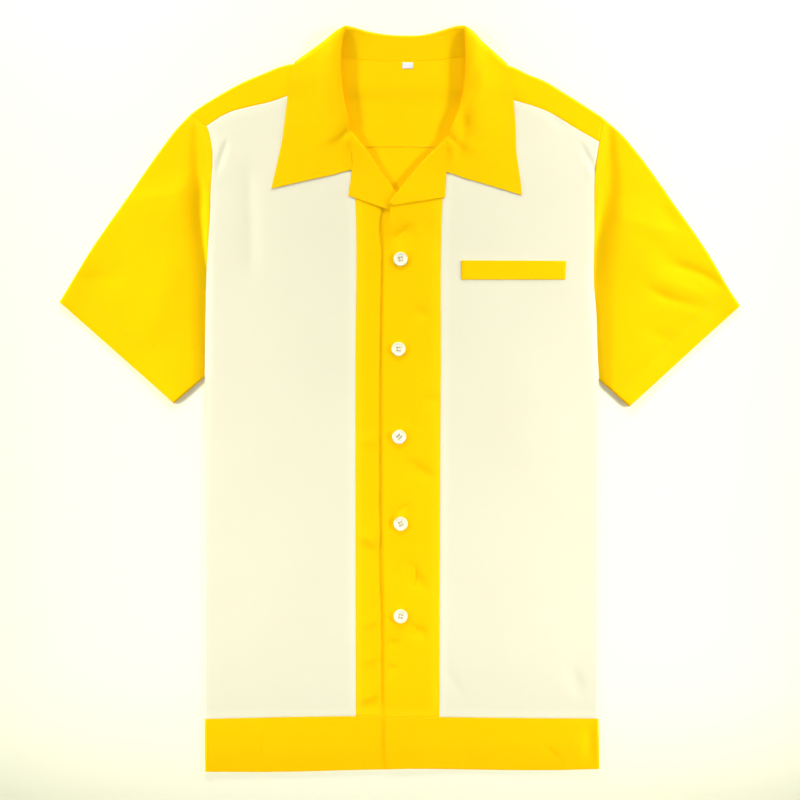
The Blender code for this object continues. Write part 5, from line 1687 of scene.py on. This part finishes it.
SIDES = (("right", RIGHT), ("left", LEFT))
SLEEVE_GRAIN_TURN = 42.0
EDGE_STITCH_INSET = 5.5
BAND_STITCH_INSET = 1.8
WELT_STITCH_INSET = 1.5
LABEL_WALL = 0.4

dress("back_panel", [back_panel()], YELLOW, SINGLE, "yellow_poplin", (0.418, 0.606), ["floor"])
dress("back_hem_band", [back_band()], YELLOW, DOUBLE, "yellow_poplin", (0.419, 0.060), ["floor"])
dress("yoke", yoke_grids(), YELLOW, DOUBLE, "yellow_poplin", (0.440, 0.200), ["back_panel_cloth"], held="folded")

for word, side in SIDES:
    grid, double = side_panel(side, word)
    cut = (0.167, 0.675)
    dress(f"front_side_panel_{word}", [grid], CREAM, SINGLE, "cream_poplin", cut, ["back_panel_cloth"], double=double)
    grid, double, grain = centre_panel(side, word)
    dress(
        f"front_centre_panel_{word}", [grid], YELLOW, DOUBLE, "yellow_poplin", (0.100, 0.650), ["back_panel_cloth"],
        held="folded", double=double, grain=grain,
    )
    hem = upright(*inset_line(grid, "top", EDGE_STITCH_INSET, first=2), DOUBLE)
    sew(f"lapel_stitches_{word}", [hem])
    grid, double = front_band(side, word)
    cut = (0.229, 0.060)
    dress(f"front_hem_band_{word}", [grid], YELLOW, DOUBLE, "yellow_poplin", cut, ["back_hem_band_cloth"])
    line = upright(*inset_line(grid, "top", BAND_STITCH_INSET, first=14), DOUBLE)
    sew(f"hem_band_stitches_{word}", [line])
    grid, double = sleeve_grid(side, word)
    dress(
        f"sleeve_{word}", [grid], YELLOW, SINGLE, "yellow_poplin", (0.510, 0.200), ["floor"], held="folded",
        ring=True, double=double, turn=SLEEVE_GRAIN_TURN * side["sign"],
    )
    count = len(FOLD_ANGLES) + SLEEVE_STOPS + len(FOLD_ANGLES) - 2
    line = upright(*inset_line(grid, "top", HEM_DEPTH, last=count), SINGLE)
    sew(f"sleeve_hem_stitches_{word}", [line])

grid = collar_grid()
dress("collar", [grid], YELLOW, WALL, "yellow_poplin", (0.520, 0.110), ["yoke_cloth"], held="folded")
edge = inset_line(grid, "right", EDGE_STITCH_INSET, first=6, last=-6)
start = inset_line(grid, "bottom", EDGE_STITCH_INSET, first=25)
end = inset_line(grid, "top", EDGE_STITCH_INSET, first=25)
sew("collar_stitches", [upright(*line, WALL) for line in (edge, start, end)])

left_top = cloth_front("side_left", LEFT, SINGLE)
grid = patch_on(WELT, lambda x, y: left_top(x, y) + SINGLE / 2, WALL, 50, 26)
dress("chest_welt", [grid], YELLOW, WALL, "yellow_poplin", (0.112, 0.021), ["front_side_panel_left_cloth"])
ends = [inset_line(grid, border, WELT_STITCH_INSET, first=8, last=-8) for border in ("left", "right")]
sew("welt_stitches", [upright(*line, WALL) for line in ends])

yoke_top = cloth_back(DOUBLE)
grid = patch_on(LABEL, lambda x, y: yoke_top(x, y) + DOUBLE / 2, LABEL_WALL, 16, 10)
dress("neck_label", [grid], LABEL_CLOTH, LABEL_WALL, "white_label", (0.0115, 0.0101), ["yoke_cloth"])

centre_top = cloth_front("centre_left", LEFT, DOUBLE)


def placket_top(x, y):
    return centre_top(x, y) + DOUBLE / 2


places = []
for number, place in enumerate(BUTTONS, 1):
    button, at = add_button(number, place, RESIN, placket_top)
    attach(button, "root")
    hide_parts(f"button_{number}")
    places.append(at)
threads = button_threads(places, IVORY_THREAD)
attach(threads, "root")

# ------------------------------------------------------------------- stage
FLOOR_REACH = 12.0
FLOOR_LEVEL = -0.0003
mesh = bpy.data.meshes.new("studio_floor")
floor_corners = [(x * FLOOR_REACH, y * FLOOR_REACH, FLOOR_LEVEL) for x, y in ((-1, -1), (1, -1), (1, 1), (-1, 1))]
mesh.from_pydata(floor_corners, [], [(0, 1, 2, 3)])
mesh.materials.append(PAPER)
floor = bpy.data.objects.new("studio_floor", mesh)
bpy.context.scene.collection.objects.link(floor)

world = bpy.data.worlds.new("studio_air")
bpy.context.scene.world = world
world.use_nodes = True
backdrop = world.node_tree.nodes["Background"]
backdrop.inputs["Color"].default_value = (1.0, 1.0, 1.0, 1.0)
way = node(world.node_tree, "ShaderNodeTexCoord").outputs["Generated"]
parts = node(world.node_tree, "ShaderNodeSeparateXYZ")
world.node_tree.links.new(way, parts.inputs[0])
# pale near the horizon, where it hardly lights the floor, and dim above
height = node(world.node_tree, "ShaderNodeMapRange", in_1=0.06, in_2=0.16, in_3=0.95, in_4=0.04)
world.node_tree.links.new(parts.outputs[2], height.inputs[0])
world.node_tree.links.new(height.outputs[0], backdrop.inputs["Strength"])

# Name, place, the point it faces, size along and across, watts, spread of its beam in degrees. A scratch program that
# fitted a model of the lamps made these values, here rounded: places, aims and spreads of the softboxes at right and
# left, place, aim and watts of the top one, y and spread of the overhead one. Their sizes and the other watts were
# set one by one. The wash lamps light the far floor, with watts worked out from their area.
SOFTBOXES = (
    ("softbox_right", (-1.2, 0.192, 0.546), (-0.344, 0.192, 0.0), (1.3, 0.3), 1.99, 24.0),
    ("softbox_left", (1.2, 0.192, 0.546), (0.344, 0.192, 0.0), (1.3, 0.3), 2.21, 24.0),
    ("softbox_top", (0.0, 1.234, 0.59), (0.0, -0.1, 0.0), (1.5, 0.4), 15.2, 180.0),
    ("softbox_overhead", (0.0, -0.37, 2.1), (0.0, -0.37, 0.0), (0.6, 0.9), 0.95, 26.8),
    ("wash_right", (-6.36, 0.0, 1.5), (-6.36, 0.0, 0.0), (11.28, 24.0), 1083.0, 16.0),
    ("wash_left", (6.36, 0.0, 1.5), (6.36, 0.0, 0.0), (11.28, 24.0), 1083.0, 16.0),
    ("wash_top", (0.0, 6.36, 1.5), (0.0, 6.36, 0.0), (1.44, 11.28), 65.0, 16.0),
    ("wash_bottom", (0.0, -6.36, 1.5), (0.0, -6.36, 0.0), (1.44, 11.28), 65.0, 16.0),
)
for name, place, target, size, watts, spread in SOFTBOXES:
    lamp = bpy.data.lights.new(name, "AREA")
    lamp.shape = "RECTANGLE"
    lamp.size, lamp.size_y = size
    lamp.energy = watts
    lamp.spread = math.radians(spread)
    softbox = bpy.data.objects.new(name, lamp)
    softbox.location = place
    softbox.rotation_euler = (Vector(target) - Vector(place)).to_track_quat("-Z", "Y").to_euler()
    softbox.visible_camera = False
    bpy.context.scene.collection.objects.link(softbox)

CAMERA_HEIGHT = 3.0
FRAME_WIDTH = 0.848
lens = bpy.data.cameras.new("photo_camera")
lens.sensor_width = 36.0
lens.lens = 36.0 * CAMERA_HEIGHT / FRAME_WIDTH
lens.clip_end = 50.0
camera = bpy.data.objects.new("photo_camera", lens)
camera.location = (0.000265, -0.001325, CAMERA_HEIGHT)
bpy.context.scene.collection.objects.link(camera)
bpy.context.scene.camera = camera
bpy.context.scene.view_settings.view_transform = "Standard"
